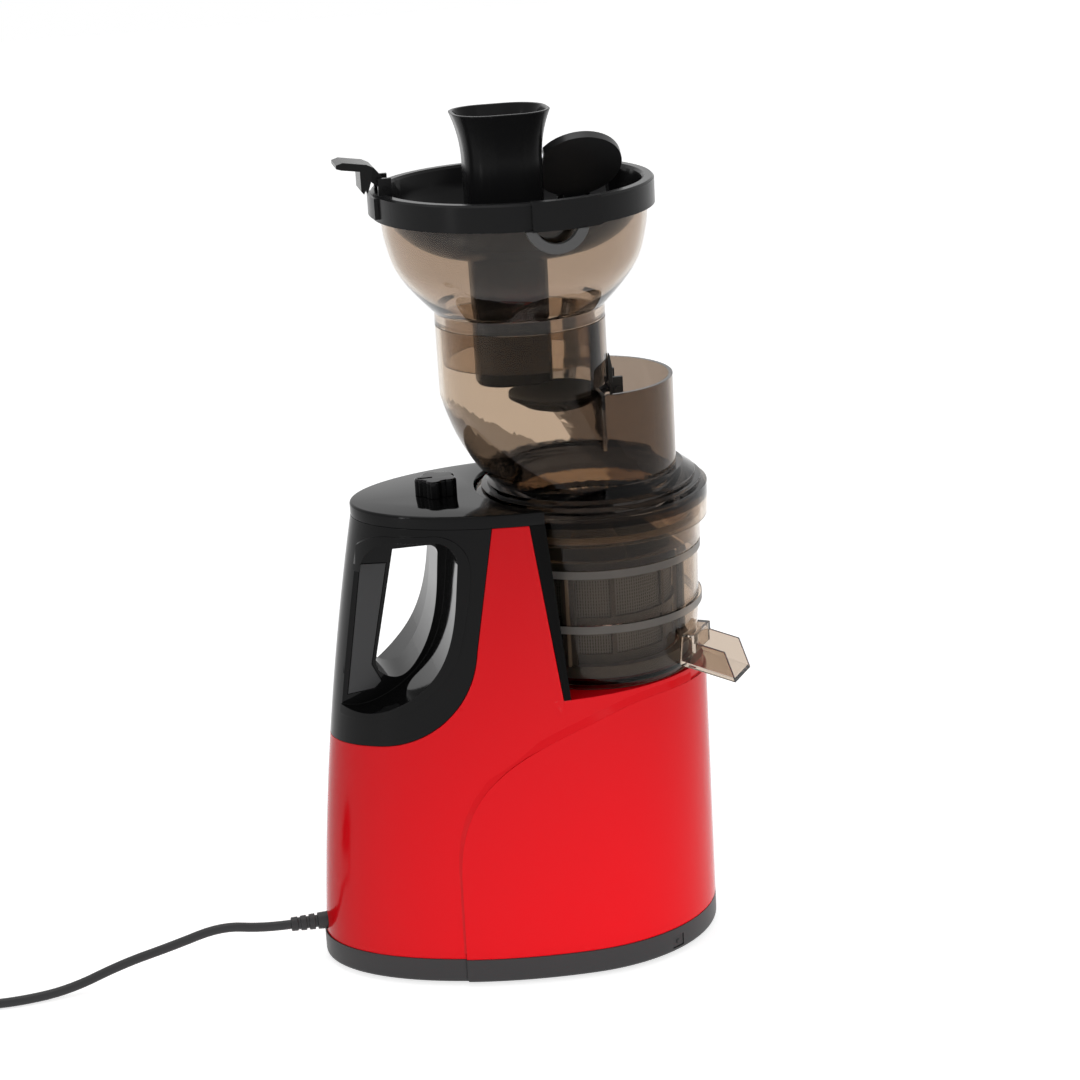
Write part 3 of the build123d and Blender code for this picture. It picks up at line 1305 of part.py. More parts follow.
coil_radius = 33.0
coil_half_width = 7.5
coil_height = 13.0
coil_x = 27.0
coil_y = relief_end + 238.0
coil_entry = coil_x - coil_radius
lying = cord_radius + 0.2
route = [
    (0.0, relief_end, cord_exit_z),
    (0.0, relief_end + 18, cord_exit_z),
    (0.6, relief_end + 44, cord_exit_z + 5.0),
    (0.2, relief_end + 76, cord_exit_z - 4.0),
    (-2.0, relief_end + 108, cord_exit_z - 10.5),
    (-7.0, relief_end + 142, lying + 0.8),
    (-12.0, relief_end + 174, lying),
    (-9.5, relief_end + 202, lying),
    (coil_entry, relief_end + 227, lying),
]

runs = [(Vector(*route[i + 1]) - Vector(*route[i])).length for i in range(len(route) - 1)]
turns = [
    (Vector(*route[i + 1]) - Vector(*route[i])).get_angle(Vector(*route[i + 2]) - Vector(*route[i + 1]))
    for i in range(len(route) - 2)
]
cord_radii = [
    0.45 * min(runs[i], runs[i + 1]) / math.tan(math.radians(turns[i]) / 2) for i in range(len(turns))
]
print("cord runs", [round(run, 1) for run in runs])
print("cord bend radii", [round(radius) for radius in cord_radii])

with BuildPart() as power_cord:
    with BuildLine() as cord_path:
        FilletPolyline(*route, radius=cord_radii)
    with BuildSketch(Plane(origin=cord_path.line @ 0, z_dir=cord_path.line % 0)):
        Circle(cord_radius)
    sweep(path=cord_path.line)
cord_length = sum(edge.length for edge in cord_path.edges())
print("cord length", round(cord_length, 1), "volume over section times length",
      round(power_cord.part.volume / (math.pi * cord_radius ** 2 * cord_length), 4))
save(power_cord.part, "power_cord")

with BuildPart() as cord_coil:
    with BuildSketch(Plane.XY):
        with Locations((coil_x, coil_y)):
            Circle(coil_radius + coil_half_width)
            Circle(coil_radius - coil_half_width, mode=Mode.SUBTRACT)
    extrude(amount=coil_height)
save(cord_coil.part, "cord_coil")

# Flat two-pin plug, lying on the coil with its pins along +X
plug_length = 36.0
plug_wide = 33.0
plug_thick = 13.7
plug_back = coil_y + coil_radius + coil_half_width - plug_wide / 2 - 1.0
pin_length = 19.0
pin_spacing = 18.6

with BuildPart() as plug:
    with BuildSketch(Plane.YZ.offset(coil_x - plug_length / 2)):
        with Locations((plug_back, coil_height + plug_thick / 2)):
            RectangleRounded(plug_wide * 0.5, plug_thick * 0.9, 5)
    with BuildSketch(Plane.YZ.offset(coil_x - plug_length / 6)):
        with Locations((plug_back, coil_height + plug_thick / 2)):
            RectangleRounded(plug_wide, plug_thick, 6)
    loft()
    with BuildSketch(Plane.YZ.offset(coil_x - plug_length / 6)):
        with Locations((plug_back, coil_height + plug_thick / 2)):
            RectangleRounded(plug_wide, plug_thick, 6)
    extrude(amount=plug_length * 2 / 3)
save(plug.part, "plug")

with BuildPart() as plug_pins:
    with BuildSketch(Plane.YZ.offset(coil_x + plug_length / 2)):
        with Locations((plug_back, coil_height + plug_thick / 2)):
            with GridLocations(pin_spacing, 1, 2, 1):
                Circle(2.0)
    extrude(amount=pin_length)
save(plug_pins.part, "plug_pins")
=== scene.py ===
"""The looks of a cold press juicer, put together from the table upwards.

Everything is in metres, in the part's own frame: +Z up, -Y the front with the drum, +Y the rear.
"""
import json
import math

import bmesh
import bpy
from mathutils import Matrix, Vector
from mathutils.bvhtree import BVHTree

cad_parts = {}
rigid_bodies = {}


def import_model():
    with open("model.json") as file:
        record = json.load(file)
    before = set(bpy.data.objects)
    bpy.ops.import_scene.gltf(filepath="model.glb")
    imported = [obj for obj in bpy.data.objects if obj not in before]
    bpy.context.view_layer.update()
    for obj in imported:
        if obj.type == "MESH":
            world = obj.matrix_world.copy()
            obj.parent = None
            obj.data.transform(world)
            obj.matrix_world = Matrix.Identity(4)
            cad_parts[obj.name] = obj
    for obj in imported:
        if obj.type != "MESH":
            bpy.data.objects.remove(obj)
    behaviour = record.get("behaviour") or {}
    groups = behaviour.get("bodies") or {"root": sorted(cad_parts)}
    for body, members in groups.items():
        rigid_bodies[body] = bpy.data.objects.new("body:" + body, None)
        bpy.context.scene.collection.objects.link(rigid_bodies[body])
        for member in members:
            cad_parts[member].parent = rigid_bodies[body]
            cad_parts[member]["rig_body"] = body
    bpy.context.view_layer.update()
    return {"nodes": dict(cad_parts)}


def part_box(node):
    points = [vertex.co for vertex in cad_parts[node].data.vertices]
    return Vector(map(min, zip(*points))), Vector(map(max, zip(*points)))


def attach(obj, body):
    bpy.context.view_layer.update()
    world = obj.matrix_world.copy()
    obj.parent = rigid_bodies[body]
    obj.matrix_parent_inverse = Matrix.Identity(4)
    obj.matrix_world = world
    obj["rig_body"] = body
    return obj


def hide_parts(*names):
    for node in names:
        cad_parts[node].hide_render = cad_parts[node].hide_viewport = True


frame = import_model()
scene = bpy.context.scene
scene.view_settings.view_transform = "Standard"

# Base tray: a low dish of dark grey textured plastic, moulded in one with its screw bosses.
# Its rim stands out a little in front, in line with the red housing's front panel.
BASE_GREY = (0.022, 0.022, 0.023, 1)
GRAIN_SCALE = 900.0
GRAIN_DEPTH = 0.0002
MERGE_DISTANCE = 2e-6
FLAT_ANGLE = math.radians(0.4)
CORNER_ANGLE = math.radians(30)
SEAM_MARGIN = 1e-4


def plastic(name, color, roughness, shine=0.35, grain=0.0):
    """A moulded plastic with a share of surface shine, and a fine moulded grain where it is asked for."""
    material = bpy.data.materials.new(name)
    material.use_nodes = True
    nodes = material.node_tree.nodes
    shader = nodes["Principled BSDF"]
    shader.inputs["Base Color"].default_value = color
    shader.inputs["Roughness"].default_value = roughness
    shader.inputs["Specular IOR Level"].default_value = shine
    if grain:
        place = nodes.new("ShaderNodeTexCoord")
        noise = nodes.new("ShaderNodeTexNoise")
        noise.inputs["Scale"].default_value = GRAIN_SCALE
        noise.inputs["Detail"].default_value = 2
        bump = nodes.new("ShaderNodeBump")
        bump.inputs["Strength"].default_value = grain
        bump.inputs["Distance"].default_value = GRAIN_DEPTH
        links = material.node_tree.links
        links.new(place.outputs["Object"], noise.inputs["Vector"])
        links.new(noise.outputs["Fac"], bump.inputs["Height"])
        links.new(bump.outputs["Normal"], shader.inputs["Normal"])
    return material


def finished(node, material, ease=0.0, rounds=2, seams=()):
    """A merged, smooth copy of a CAD piece that stands for it, with its outer corners eased.

    A seam is a (height, place along Y) from which rearwards the piece joins its other half; it stays sharp.
    """
    source = frame["nodes"][node]
    mesh = source.data.copy()
    mesh.materials.clear()
    mesh.materials.append(material)
    shape = bmesh.new()
    shape.from_mesh(mesh)
    bmesh.ops.remove_doubles(shape, verts=shape.verts, dist=MERGE_DISTANCE)
    bmesh.ops.dissolve_limit(shape, angle_limit=FLAT_ANGLE, verts=shape.verts, edges=shape.edges)
    for face in shape.faces:
        face.smooth = True
        face.material_index = 0
    weight = shape.edges.layers.float.new("bevel_weight_edge")
    for edge in shape.edges:
        edge.smooth = edge.calc_face_angle(0.0) < CORNER_ANGLE
        ends = [end.co for end in edge.verts]
        held = any(all(abs(end.z - height) < SEAM_MARGIN and end.y > place for end in ends)
                   for height, place in seams)
        edge[weight] = 0.0 if edge.smooth or held else 1.0
    shape.to_mesh(mesh)
    shape.free()
    piece = bpy.data.objects.new(node + "_skin", mesh)
    scene.collection.objects.link(piece)
    if ease:
        bevel = piece.modifiers.new("eased corners", "BEVEL")
        bevel.width = ease
        bevel.segments = rounds
        bevel.limit_method = "WEIGHT"
        bevel.harden_normals = True
    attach(piece, source["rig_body"])
    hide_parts(node)
    return piece


base_plastic = plastic("base_plastic", BASE_GREY, 0.42, grain=0.12)
finished("base_plate", base_plastic, ease=0.0005)

# Four rubber feet: plain matt black pads with a rounded lower edge.
# They are glued under the base.
foot_rubber = plastic("foot_rubber", (0.02, 0.02, 0.02, 1), 0.7)
finished("rubber_feet", foot_rubber)

# Six self-tapping screws of zinc-plated steel.
# They go up through the base's bosses into the red housing.


def metal(name, color, roughness):
    """A bare metal."""
    material = plastic(name, color, roughness)
    material.node_tree.nodes["Principled BSDF"].inputs["Metallic"].default_value = 1.0
    return material


zinc = metal("zinc", (0.55, 0.55, 0.56, 1), 0.3)
finished("base_screws", zinc)

# A small black clip with a raised pip, moulded in one.
# It stands in a pocket low on the base's front edge.
clip_plastic = plastic("clip_plastic", (0.015, 0.015, 0.016, 1), 0.3)
finished("base_clip", clip_plastic, ease=0.0002)

# Motor, gearbox, control board and both switches, hidden in the housing: cast alloy end bells, steel
# laminations, copper windings, a sintered bush and moulded nylon gears. Four screws hold the gearbox
# up to the deck.
cast_alloy = metal("cast_alloy", (0.6, 0.61, 0.63, 1), 0.45)
laminated = metal("laminated", (0.3, 0.3, 0.31, 1), 0.4)
copper = metal("copper", (0.7, 0.32, 0.14, 1), 0.3)
bronze = metal("bronze", (0.58, 0.4, 0.2, 1), 0.4)
nylon = plastic("nylon", (0.75, 0.74, 0.69, 1), 0.4)
board_lacquer = plastic("board_lacquer", (0.02, 0.16, 0.06, 1), 0.3)
for node in ("motor_bracket", "gearbox_housing", "gearbox_cover"):
    finished(node, cast_alloy)
for node in ("stator_core", "rotor_core"):
    finished(node, laminated)
for node in ("motor_bearings", "rotor_shaft", "motor_pinion", "gearbox_screws", "idler_pin", "drive_shaft"):
    finished(node, zinc)
for node in ("cooling_fan", "idler_gear", "output_gear", "interlock_plunger"):
    finished(node, nylon)
finished("stator_windings", copper)
finished("output_bush", bronze)
finished("control_board", board_lacquer)
switch_plastic = plastic("switch_plastic", (0.02, 0.02, 0.02, 1), 0.5)
finished("selector_switch", switch_plastic)
finished("interlock_switch", switch_plastic)

# Red housing: one glossy injection moulding with the deck and the two column cheeks.
# It drops over the base, and the cheeks carry on from it without a joint.
red_gloss = plastic("red_gloss", (0.66, 0.001, 0.006, 1), 0.14, shine=0.16)
cheeks_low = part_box("column_cheeks")[0]
ALL_ALONG = -1
finished("body_shell", red_gloss, ease=0.0006, seams=[(cheeks_low.z, cheeks_low.y - 0.001)])
finished("column_cheeks", red_gloss, ease=0.0006, seams=[(cheeks_low.z, ALL_ALONG)])

# Front panel's edge: the raised panel eases back to the side wall in a narrow sloped band, widest where
# it sweeps forward under the deck. The band follows the step that is found on the housing itself.
housing = frame["nodes"]["body_shell"].data
wall_tree = BVHTree.FromPolygons([corner.co for corner in housing.vertices],
                                 [face.vertices for face in housing.polygons])
BAND_FOOT = 0.022
BAND_RISE = 0.011
BAND_LEVELS = 11
OFF_PANEL = 0.116
ON_PANEL = 0.062
SWEEP_START = 0.052
SWEEP_STRIDE = 0.0092
SWEEP_STATIONS = 12
ABOVE_SWEEP = 0.1785
BELOW_SWEEP = 0.150
NARROWEST = 0.0015
WIDER_BY = 0.0045
WIDER_FROM = 0.07
WIDER_OVER = 0.08
BAND_LAP = 0.0006
BAND_ROOT = 0.0008
BAND_SINK = 0.0004
SEARCH_PARTS = 120
HALVINGS = 6
HALF_STEP = 0.0008
OUTSIDE = 0.2
drum_y = (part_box("drum")[0].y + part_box("drum")[1].y) / 2


def wall_place(side, across, height):
    """The place on the housing's side wall at a place along Y and a height."""
    start = Vector((side * OUTSIDE, across, height))
    return wall_tree.ray_cast(start, Vector((-side, 0, 0)))[0]


def step_between(side, high, low):
    """The (y, z) where the wall steps out, between a place off the panel and a place on it."""
    places = [(high[0] + (low[0] - high[0]) * part / SEARCH_PARTS,
               high[1] + (low[1] - high[1]) * part / SEARCH_PARTS) for part in range(SEARCH_PARTS + 1)]
    reach = [abs(wall_place(side, *place).x) for place in places]
    jump = max(range(SEARCH_PARTS), key=lambda part: reach[part + 1] - reach[part])
    high, low = places[jump], places[jump + 1]
    for _ in range(HALVINGS):
        middle = ((high[0] + low[0]) / 2, (high[1] + low[1]) / 2)
        if abs(wall_place(side, *middle).x) - reach[jump] > HALF_STEP:
            low = middle
        else:
            high = middle
    return middle


for side in (-1, 1):
    trail = []
    for level in range(BAND_LEVELS):
        height = BAND_FOOT + BAND_RISE * level
        trail.append(step_between(side, (drum_y + OFF_PANEL, height), (drum_y + ON_PANEL, height)))
    for station in range(SWEEP_STATIONS):
        across = drum_y + SWEEP_START - SWEEP_STRIDE * station
        trail.append(step_between(side, (across, ABOVE_SWEEP), (across, BELOW_SWEEP)))
    rows = []
    for index, place in enumerate(trail):
        before, after = trail[max(0, index - 1)], trail[min(len(trail) - 1, index + 1)]
        along = Vector((after[0] - before[0], after[1] - before[1])).normalized()
        off = Vector((along.y, -along.x))
        width = NARROWEST + WIDER_BY * min(1.0, max(0.0, (place[1] - WIDER_FROM) / WIDER_OVER))
        top = wall_place(side, place[0] - off.x * BAND_LAP, place[1] - off.y * BAND_LAP)
        foot = wall_place(side, place[0] + off.x * width, place[1] + off.y * width)
        root = wall_place(side, place[0] + off.x * BAND_ROOT, place[1] + off.y * BAND_ROOT)
        sink = Vector((-side * BAND_SINK, 0, 0))
        rows.append((top, foot + sink, root + sink * 2))
    band = bmesh.new()
    rings = [[band.verts.new(corner) for corner in row] for row in rows]
    for first, second in zip(rings, rings[1:]):
        for a, b in ((0, 1), (1, 2), (2, 0)):
            band.faces.new((first[a], first[b], second[b], second[a]))
    band.faces.new(rings[0])
    band.faces.new(rings[-1][::-1])
    bmesh.ops.recalc_face_normals(band, faces=band.faces)
    band_mesh = bpy.data.meshes.new("panel_band")
    for face in band.faces:
        face.smooth = True
    for edge in band.edges:
        edge.smooth = edge.calc_face_angle(0.0) < CORNER_ANGLE
    band.to_mesh(band_mesh)
    band.free()
    band_mesh.materials.append(red_gloss)
    panel_band = bpy.data.objects.new("panel_band_left" if side < 0 else "panel_band_right", band_mesh)
    scene.collection.objects.link(panel_band)
    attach(panel_band, "housing")

# Handle shell with its post, column panel and top cover: black mouldings that clip onto the red housing.
# The shell and the cover are polished. The panel behind the drum is nearly matt.
black_gloss = plastic("black_gloss", (0.003, 0.003, 0.0032, 1), 0.07, shine=0.13)
post_low, post_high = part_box("handle_post")
post_ends = [(post_low.z, ALL_ALONG), (post_high.z, ALL_ALONG)]
for node in ("handle_shell", "handle_post"):
    finished(node, black_gloss, ease=0.0018, rounds=4, seams=post_ends)
panel_black = plastic("panel_black", (0.002, 0.002, 0.002, 1), 0.3, shine=0.06)
finished("column_panel", panel_black, ease=0.0006)
finished("top_cover", black_gloss, ease=0.0006)

# Soft-touch grips: two thin grey rubber flats.
# They are glued into shallow seats on both sides of the handle's post.
grip_rubber = plastic("grip_rubber", (0.03, 0.03, 0.031, 1), 0.38)
finished("grip_inserts", grip_rubber, ease=0.0006)

# Rotary knob: a lobed glossy black moulding with a pointer rib.
# Its stem goes down through the top cover into the switch.
finished("selector_knob", black_gloss, ease=0.0004)

# Seals: translucent grey silicone rings and a plug, pressed into place. The rings sit at the drive
# shaft, under the drum and in the lid, and the plug in the drum's floor at the pulp channel.
silicone = plastic("silicone", (0.5, 0.49, 0.47, 1), 0.5)
for node in ("shaft_seal", "drum_seal", "pulp_plug", "lid_seal"):
    finished(node, silicone)

# Drum with its spouts: clear smoke-brown plastic, about two and a half millimetres thick.
# The faces and ledges of the two ridges round its wall get a lighter, partly opaque tint: a painted highlight
# where the ridges catch the light.
SMOKE = (0.55, 0.46, 0.38, 1)
RIDGE_FACE = 0.0009
RIDGE_LEDGE = 0.0022
LEDGE_TILT = 0.5
RIDGES_BELOW_RIM = 0.031


def clear_plastic(name, color, roughness, mirror=0.45):
    """A clear tinted moulding with a share of the mirror that its walls show head on."""
    material = plastic(name, color, roughness)
    shader = material.node_tree.nodes["Principled BSDF"]
    shader.inputs["Specular Tint"].default_value = (mirror, mirror, mirror, 1)
    shader.inputs["Transmission Weight"].default_value = 1.0
    shader.inputs["IOR"].default_value = 1.35
    return material


smoke = clear_plastic("smoke", SMOKE, 0.03)
for node in ("juice_spout", "pulp_spout"):
    finished(node, smoke, ease=0.0004)
drum = finished("drum", smoke, ease=0.0004)
# Painted highlight: a lighter, partly opaque tint for the ridges' faces and ledges.
ridge_painted_highlight = clear_plastic("ridge_painted_highlight", (0.34, 0.32, 0.3, 1), 0.3)
ridge_painted_highlight.node_tree.nodes["Principled BSDF"].inputs["Transmission Weight"].default_value = 0.75
drum.data.materials.append(ridge_painted_highlight)
collar_radius, rim_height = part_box("drum")[1].x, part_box("drum")[1].z
for face in drum.data.polygons:
    reach = math.hypot(face.center.x, face.center.y - drum_y)
    on_ledge = abs(face.normal.z) > LEDGE_TILT and reach > collar_radius - RIDGE_LEDGE
    on_ridge = on_ledge or reach > collar_radius - RIDGE_FACE
    if on_ridge and face.center.z < rim_height - RIDGES_BELOW_RIM:
        face.material_index = 1

# Strainer: dark moulded ribs and bands round an etched steel screen, close to each other in tone.
# The screen's slots are upright and stand in rows, one over the next. They are dark slivers set into the
# screen's face: painted shade for the shaded inside that open slots would show.
dark_plastic = plastic("dark_plastic", (0.13, 0.143, 0.162, 1), 0.3)
screen = plastic("screen", (0.25, 0.29, 0.335, 1), 0.5)
finished("strainer_frame", dark_plastic, ease=0.0003)
finished("strainer_mesh", screen)
# Painted shade: the slots' dark tint stands in for the shaded inside seen through them.
slot_painted_shade = plastic("slot_painted_shade", (0.03, 0.03, 0.032, 1), 0.6)


def rows_of_slots():
    """A node tree that sets upright slots round a cylinder, row over row, and its inputs' names."""
    tree = bpy.data.node_groups.new("rows_of_slots", "GeometryNodeTree")
    tree.is_modifier = True
    tree.interface.new_socket("Geometry", in_out="OUTPUT", socket_type="NodeSocketGeometry")
    names = {}
    for label, kind in (("Radius", "Float"), ("Lowest Row", "Float"), ("Row Pitch", "Float"), ("Rows", "Int"),
                        ("Slots Around", "Int"), ("Slot Size", "Vector"), ("Slot Painted Shade", "Material")):
        socket = tree.interface.new_socket(label, in_out="INPUT", socket_type="NodeSocket" + kind)
        names[label] = socket.identifier
    nodes, links = tree.nodes, tree.links
    sizes = nodes.new("NodeGroupInput").outputs
    slot = nodes.new("GeometryNodeMeshCube")
    links.new(sizes["Slot Size"], slot.inputs["Size"])
    ring = nodes.new("GeometryNodeMeshCircle")
    links.new(sizes["Slots Around"], ring.inputs["Vertices"])
    links.new(sizes["Radius"], ring.inputs["Radius"])
    place = nodes.new("GeometryNodeInputIndex")
    share = nodes.new("ShaderNodeMath")
    share.operation = "DIVIDE"
    links.new(place.outputs["Index"], share.inputs[0])
    links.new(sizes["Slots Around"], share.inputs[1])
    turn = nodes.new("ShaderNodeMath")
    turn.operation = "MULTIPLY"
    turn.inputs[1].default_value = math.tau
    links.new(share.outputs[0], turn.inputs[0])
    heading = nodes.new("ShaderNodeCombineXYZ")
    links.new(turn.outputs[0], heading.inputs["Z"])
    row = nodes.new("GeometryNodeInstanceOnPoints")
    links.new(ring.outputs["Mesh"], row.inputs["Points"])
    links.new(slot.outputs["Mesh"], row.inputs["Instance"])
    links.new(heading.outputs[0], row.inputs["Rotation"])
    start = nodes.new("ShaderNodeCombineXYZ")
    links.new(sizes["Lowest Row"], start.inputs["Z"])
    rise = nodes.new("ShaderNodeCombineXYZ")
    links.new(sizes["Row Pitch"], rise.inputs["Z"])
    stack = nodes.new("GeometryNodeMeshLine")
    links.new(sizes["Rows"], stack.inputs["Count"])
    links.new(start.outputs[0], stack.inputs["Start Location"])
    links.new(rise.outputs[0], stack.inputs["Offset"])
    rows = nodes.new("GeometryNodeInstanceOnPoints")
    links.new(stack.outputs["Mesh"], rows.inputs["Points"])
    links.new(row.outputs["Instances"], rows.inputs["Instance"])
    real = nodes.new("GeometryNodeRealizeInstances")
    links.new(rows.outputs["Instances"], real.inputs["Geometry"])
    coat = nodes.new("GeometryNodeSetMaterial")
    links.new(real.outputs["Geometry"], coat.inputs["Geometry"])
    links.new(sizes["Slot Painted Shade"], coat.inputs["Material"])
    links.new(coat.outputs["Geometry"], nodes.new("NodeGroupOutput").inputs["Geometry"])
    return tree, names


SLOTS_AROUND = 180
SLOT_SIZE = (0.0003, 0.00045, 0.0013)
SLOT_SINK = 0.0001
SLOT_ROW_PITCH = 0.0021
SCREEN_EDGE = 0.002
screen_low, screen_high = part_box("strainer_mesh")
screen_radius = (screen_high.x - screen_low.x) / 2
slot_rows = int((screen_high.z - screen_low.z - SCREEN_EDGE) / SLOT_ROW_PITCH)
screen_slots = bpy.data.objects.new("screen_slots", bpy.data.meshes.new("screen_slots"))
scene.collection.objects.link(screen_slots)
etching = screen_slots.modifiers.new("etching", "NODES")
etching.node_group, slot_inputs = rows_of_slots()
for label, value in (("Radius", screen_radius - SLOT_SINK), ("Lowest Row", screen_low.z + SCREEN_EDGE),
                     ("Row Pitch", SLOT_ROW_PITCH), ("Rows", slot_rows), ("Slots Around", SLOTS_AROUND),
                     ("Slot Size", SLOT_SIZE), ("Slot Painted Shade", slot_painted_shade)):
    etching[slot_inputs[label]] = value
graph = bpy.context.evaluated_depsgraph_get()
etched = bpy.data.meshes.new_from_object(screen_slots.evaluated_get(graph), depsgraph=graph)
screen_slots.modifiers.clear()
screen_slots.data = etched
strainer_axis = ((screen_low.x + screen_high.x) / 2, (screen_low.y + screen_high.y) / 2, 0)
etched.transform(Matrix.Translation(strainer_axis))
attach(screen_slots, frame["nodes"]["strainer_mesh"]["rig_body"])

# Wiper cage with silicone blades, its small nylon driving gear, and the auger with its steel socket.
# The socket sits on the drive shaft's hexagon. The auger's foot turns the cage round the strainer
# through the small gear.
finished("brush_frame", dark_plastic, ease=0.0002)
finished("brush_blades", silicone)
finished("planet_gear", nylon)
finished("auger", dark_plastic, ease=0.0004)
finished("auger_socket", zinc)

# Lid with the front cup, throat and chute: one moulding in the drum's smoke-brown plastic. The flange, the
# cup with its back wall, and the elbow's underside are painted in darker tints of it: painted shade for the
# dark insides seen through them and the shade that falls there. The flip gate turns on pins in a black
# bracket under the chute.
SKIRT_TOP = 0.0235
FLANGE_TOP = 0.046
CUP_DEPTH = 0.0725
CUP_WALL = 0.004
SQUARE_ON = 0.4
DOWNWARD = -0.25
PLAIN_TINT, SHADED_FLANGE, SHADED_CUP, SHADED_UNDERSIDE = range(4)
smoke_lid = clear_plastic("smoke_lid", (0.64, 0.55, 0.46, 1), 0.03, mirror=0.25)
# Painted shade: darker tints of the smoke for the flange, the cup's back wall, the cup and the elbow's
# underside.
smoke_painted_dark = clear_plastic("smoke_painted_dark", (0.04, 0.035, 0.032, 1), 0.03, mirror=0.2)
smoke_cup_painted_dark = clear_plastic("smoke_cup_painted_dark", (0.27, 0.21, 0.165, 1), 0.03)
smoke_underside_painted_shade = clear_plastic("smoke_underside_painted_shade", (0.12, 0.095, 0.075, 1), 0.03)
lid = finished("lid", smoke_lid, ease=0.0005)
for tint in (smoke_painted_dark, smoke_cup_painted_dark, smoke_underside_painted_shade):
    lid.data.materials.append(tint)
lid_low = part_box("lid")[0].z
cup_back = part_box("lid")[0].y + CUP_DEPTH
# Faces go to the painted-shade tints by place, and the elbow's by facing downwards.
for face in lid.data.polygons:
    on_cup_wall = abs(face.center.y - cup_back) < CUP_WALL and abs(face.normal.y) > SQUARE_ON
    if face.center.z < lid_low + SKIRT_TOP:
        face.material_index = PLAIN_TINT
    elif face.center.z < lid_low + FLANGE_TOP or on_cup_wall:
        face.material_index = SHADED_FLANGE
    elif face.center.y < cup_back:
        face.material_index = SHADED_CUP
    elif face.normal.z < DOWNWARD:
        face.material_index = SHADED_UNDERSIDE
finished("gate_bracket", switch_plastic)
finished("flip_gate", switch_plastic)

# Hopper bowl: a clear smoke-brown moulding with a bright polish.
# Its neck drops into the chute.
smoke_bright = clear_plastic("smoke_bright", SMOKE, 0.03, mirror=1.0)
finished("hopper_bowl", smoke_bright, ease=0.0004)

# Feed tray with its ring, flap and latch: satin black plastic, with a grey finger loop.
# The tray rests on the bowl's rim. The flap and the latch turn on pins in its posts.
satin_black = plastic("satin_black", (0.013, 0.013, 0.0135, 1), 0.22, shine=0.1)
finished("hopper_tray", satin_black, ease=0.0006)
loop_grey = plastic("loop_grey", (0.12, 0.12, 0.12, 1), 0.3)
finished("finger_loop", loop_grey, ease=0.0008)
# Painted light: the flap's black is lighter than the tray's, standing in for the light that bounces onto it
# in the pusher's shade.
flap_lit_black = plastic("flap_lit_black", (0.045, 0.045, 0.046, 1), 0.35)
finished("tray_flap", flap_lit_black, ease=0.0006)
finished("latch_lever", satin_black, ease=0.0004)

# Pusher: a hollow satin black stem with a flared top.
# It slides down the tray's opening into the chute by hand.
finished("pusher", satin_black, ease=0.0008)

# Mains lead: six millimetre black PVC, its ribbed strain relief in the rear wall, a flat two-pin plug.
# About 1.2 m in all; the length that isn't laid out is wound up just beyond the lead.
CORD_RADIUS = 0.003
COIL_RADIUS = 0.033
COIL_TURNS = 4
STEPS_PER_TURN = 14
TURN_SPREAD = 0.0036
TURN_LIFT = 0.0064
INWARD_AFTER = 0.75
UPWARD_AFTER = 1.75
OUTWARD_AFTER = 2.75
relief_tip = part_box("strain_relief")[1].y
cord_height = (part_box("strain_relief")[0].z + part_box("strain_relief")[1].z) / 2
coil_low, coil_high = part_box("cord_coil")
coil_x = (coil_low.x + coil_high.x) / 2
coil_y = (coil_low.y + coil_high.y) / 2
lying = CORD_RADIUS + 0.0002
lead = [
    (0.0, relief_tip, cord_height),
    (0.0, relief_tip + 0.018, cord_height),
    (0.0006, relief_tip + 0.044, cord_height + 0.005),
    (0.0002, relief_tip + 0.076, cord_height - 0.004),
    (-0.002, relief_tip + 0.108, cord_height - 0.0105),
    (-0.007, relief_tip + 0.142, lying + 0.0008),
    (-0.012, relief_tip + 0.174, lying),
    (-0.0095, relief_tip + 0.202, lying),
    (coil_x - COIL_RADIUS, relief_tip + 0.227, lying),
]


def crossed(turns, start):
    """How far the lead has crossed over, in the quarter turn that follows a place in the coil."""
    return min(1.0, max(0.0, turns - start) * 4)


for step in range(1, COIL_TURNS * STEPS_PER_TURN):
    turns = step / STEPS_PER_TURN
    turn = math.pi - 2 * math.pi * turns
    layer = crossed(turns, UPWARD_AFTER)
    inner = crossed(turns, INWARD_AFTER) - crossed(turns, OUTWARD_AFTER)
    reach = COIL_RADIUS + TURN_SPREAD - 2 * TURN_SPREAD * inner
    lead.append((coil_x + reach * math.cos(turn), coil_y + reach * math.sin(turn), lying + TURN_LIFT * layer))
plug_low, plug_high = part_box("plug")
plug_middle = (plug_low + plug_high) / 2
lead += [
    (coil_x - 0.0366, coil_y, lying + 0.0085),
    (coil_x - 0.0345, coil_y + 0.010, plug_middle.z - 0.003),
    (coil_x - 0.028, coil_y + 0.0185, plug_middle.z),
    (plug_low.x + 0.0005, plug_middle.y, plug_middle.z),
    (plug_low.x + 0.006, plug_middle.y, plug_middle.z),
]
route = bpy.data.curves.new("mains_lead", "CURVE")
route.dimensions = "3D"
route.bevel_depth = CORD_RADIUS
route.bevel_resolution = 4
route.resolution_u = 6
route.use_fill_caps = True
line = route.splines.new("NURBS")
line.points.add(len(lead) - 1)
for point, place in zip(line.points, lead):
    point.co = (*place, 1)
line.order_u = 3
line.use_endpoint_u = True
mains_lead = bpy.data.objects.new("mains_lead", route)
scene.collection.objects.link(mains_lead)
cord_vinyl = plastic("cord_vinyl", (0.02, 0.02, 0.021, 1), 0.4)
route.materials.append(cord_vinyl)
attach(mains_lead, "housing")
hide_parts("power_cord", "cord_coil")
relief = finished("strain_relief", cord_vinyl, ease=0.0003)
plug = finished("plug", cord_vinyl, ease=0.0006)
pins = finished("plug_pins", zinc, ease=0.0004)

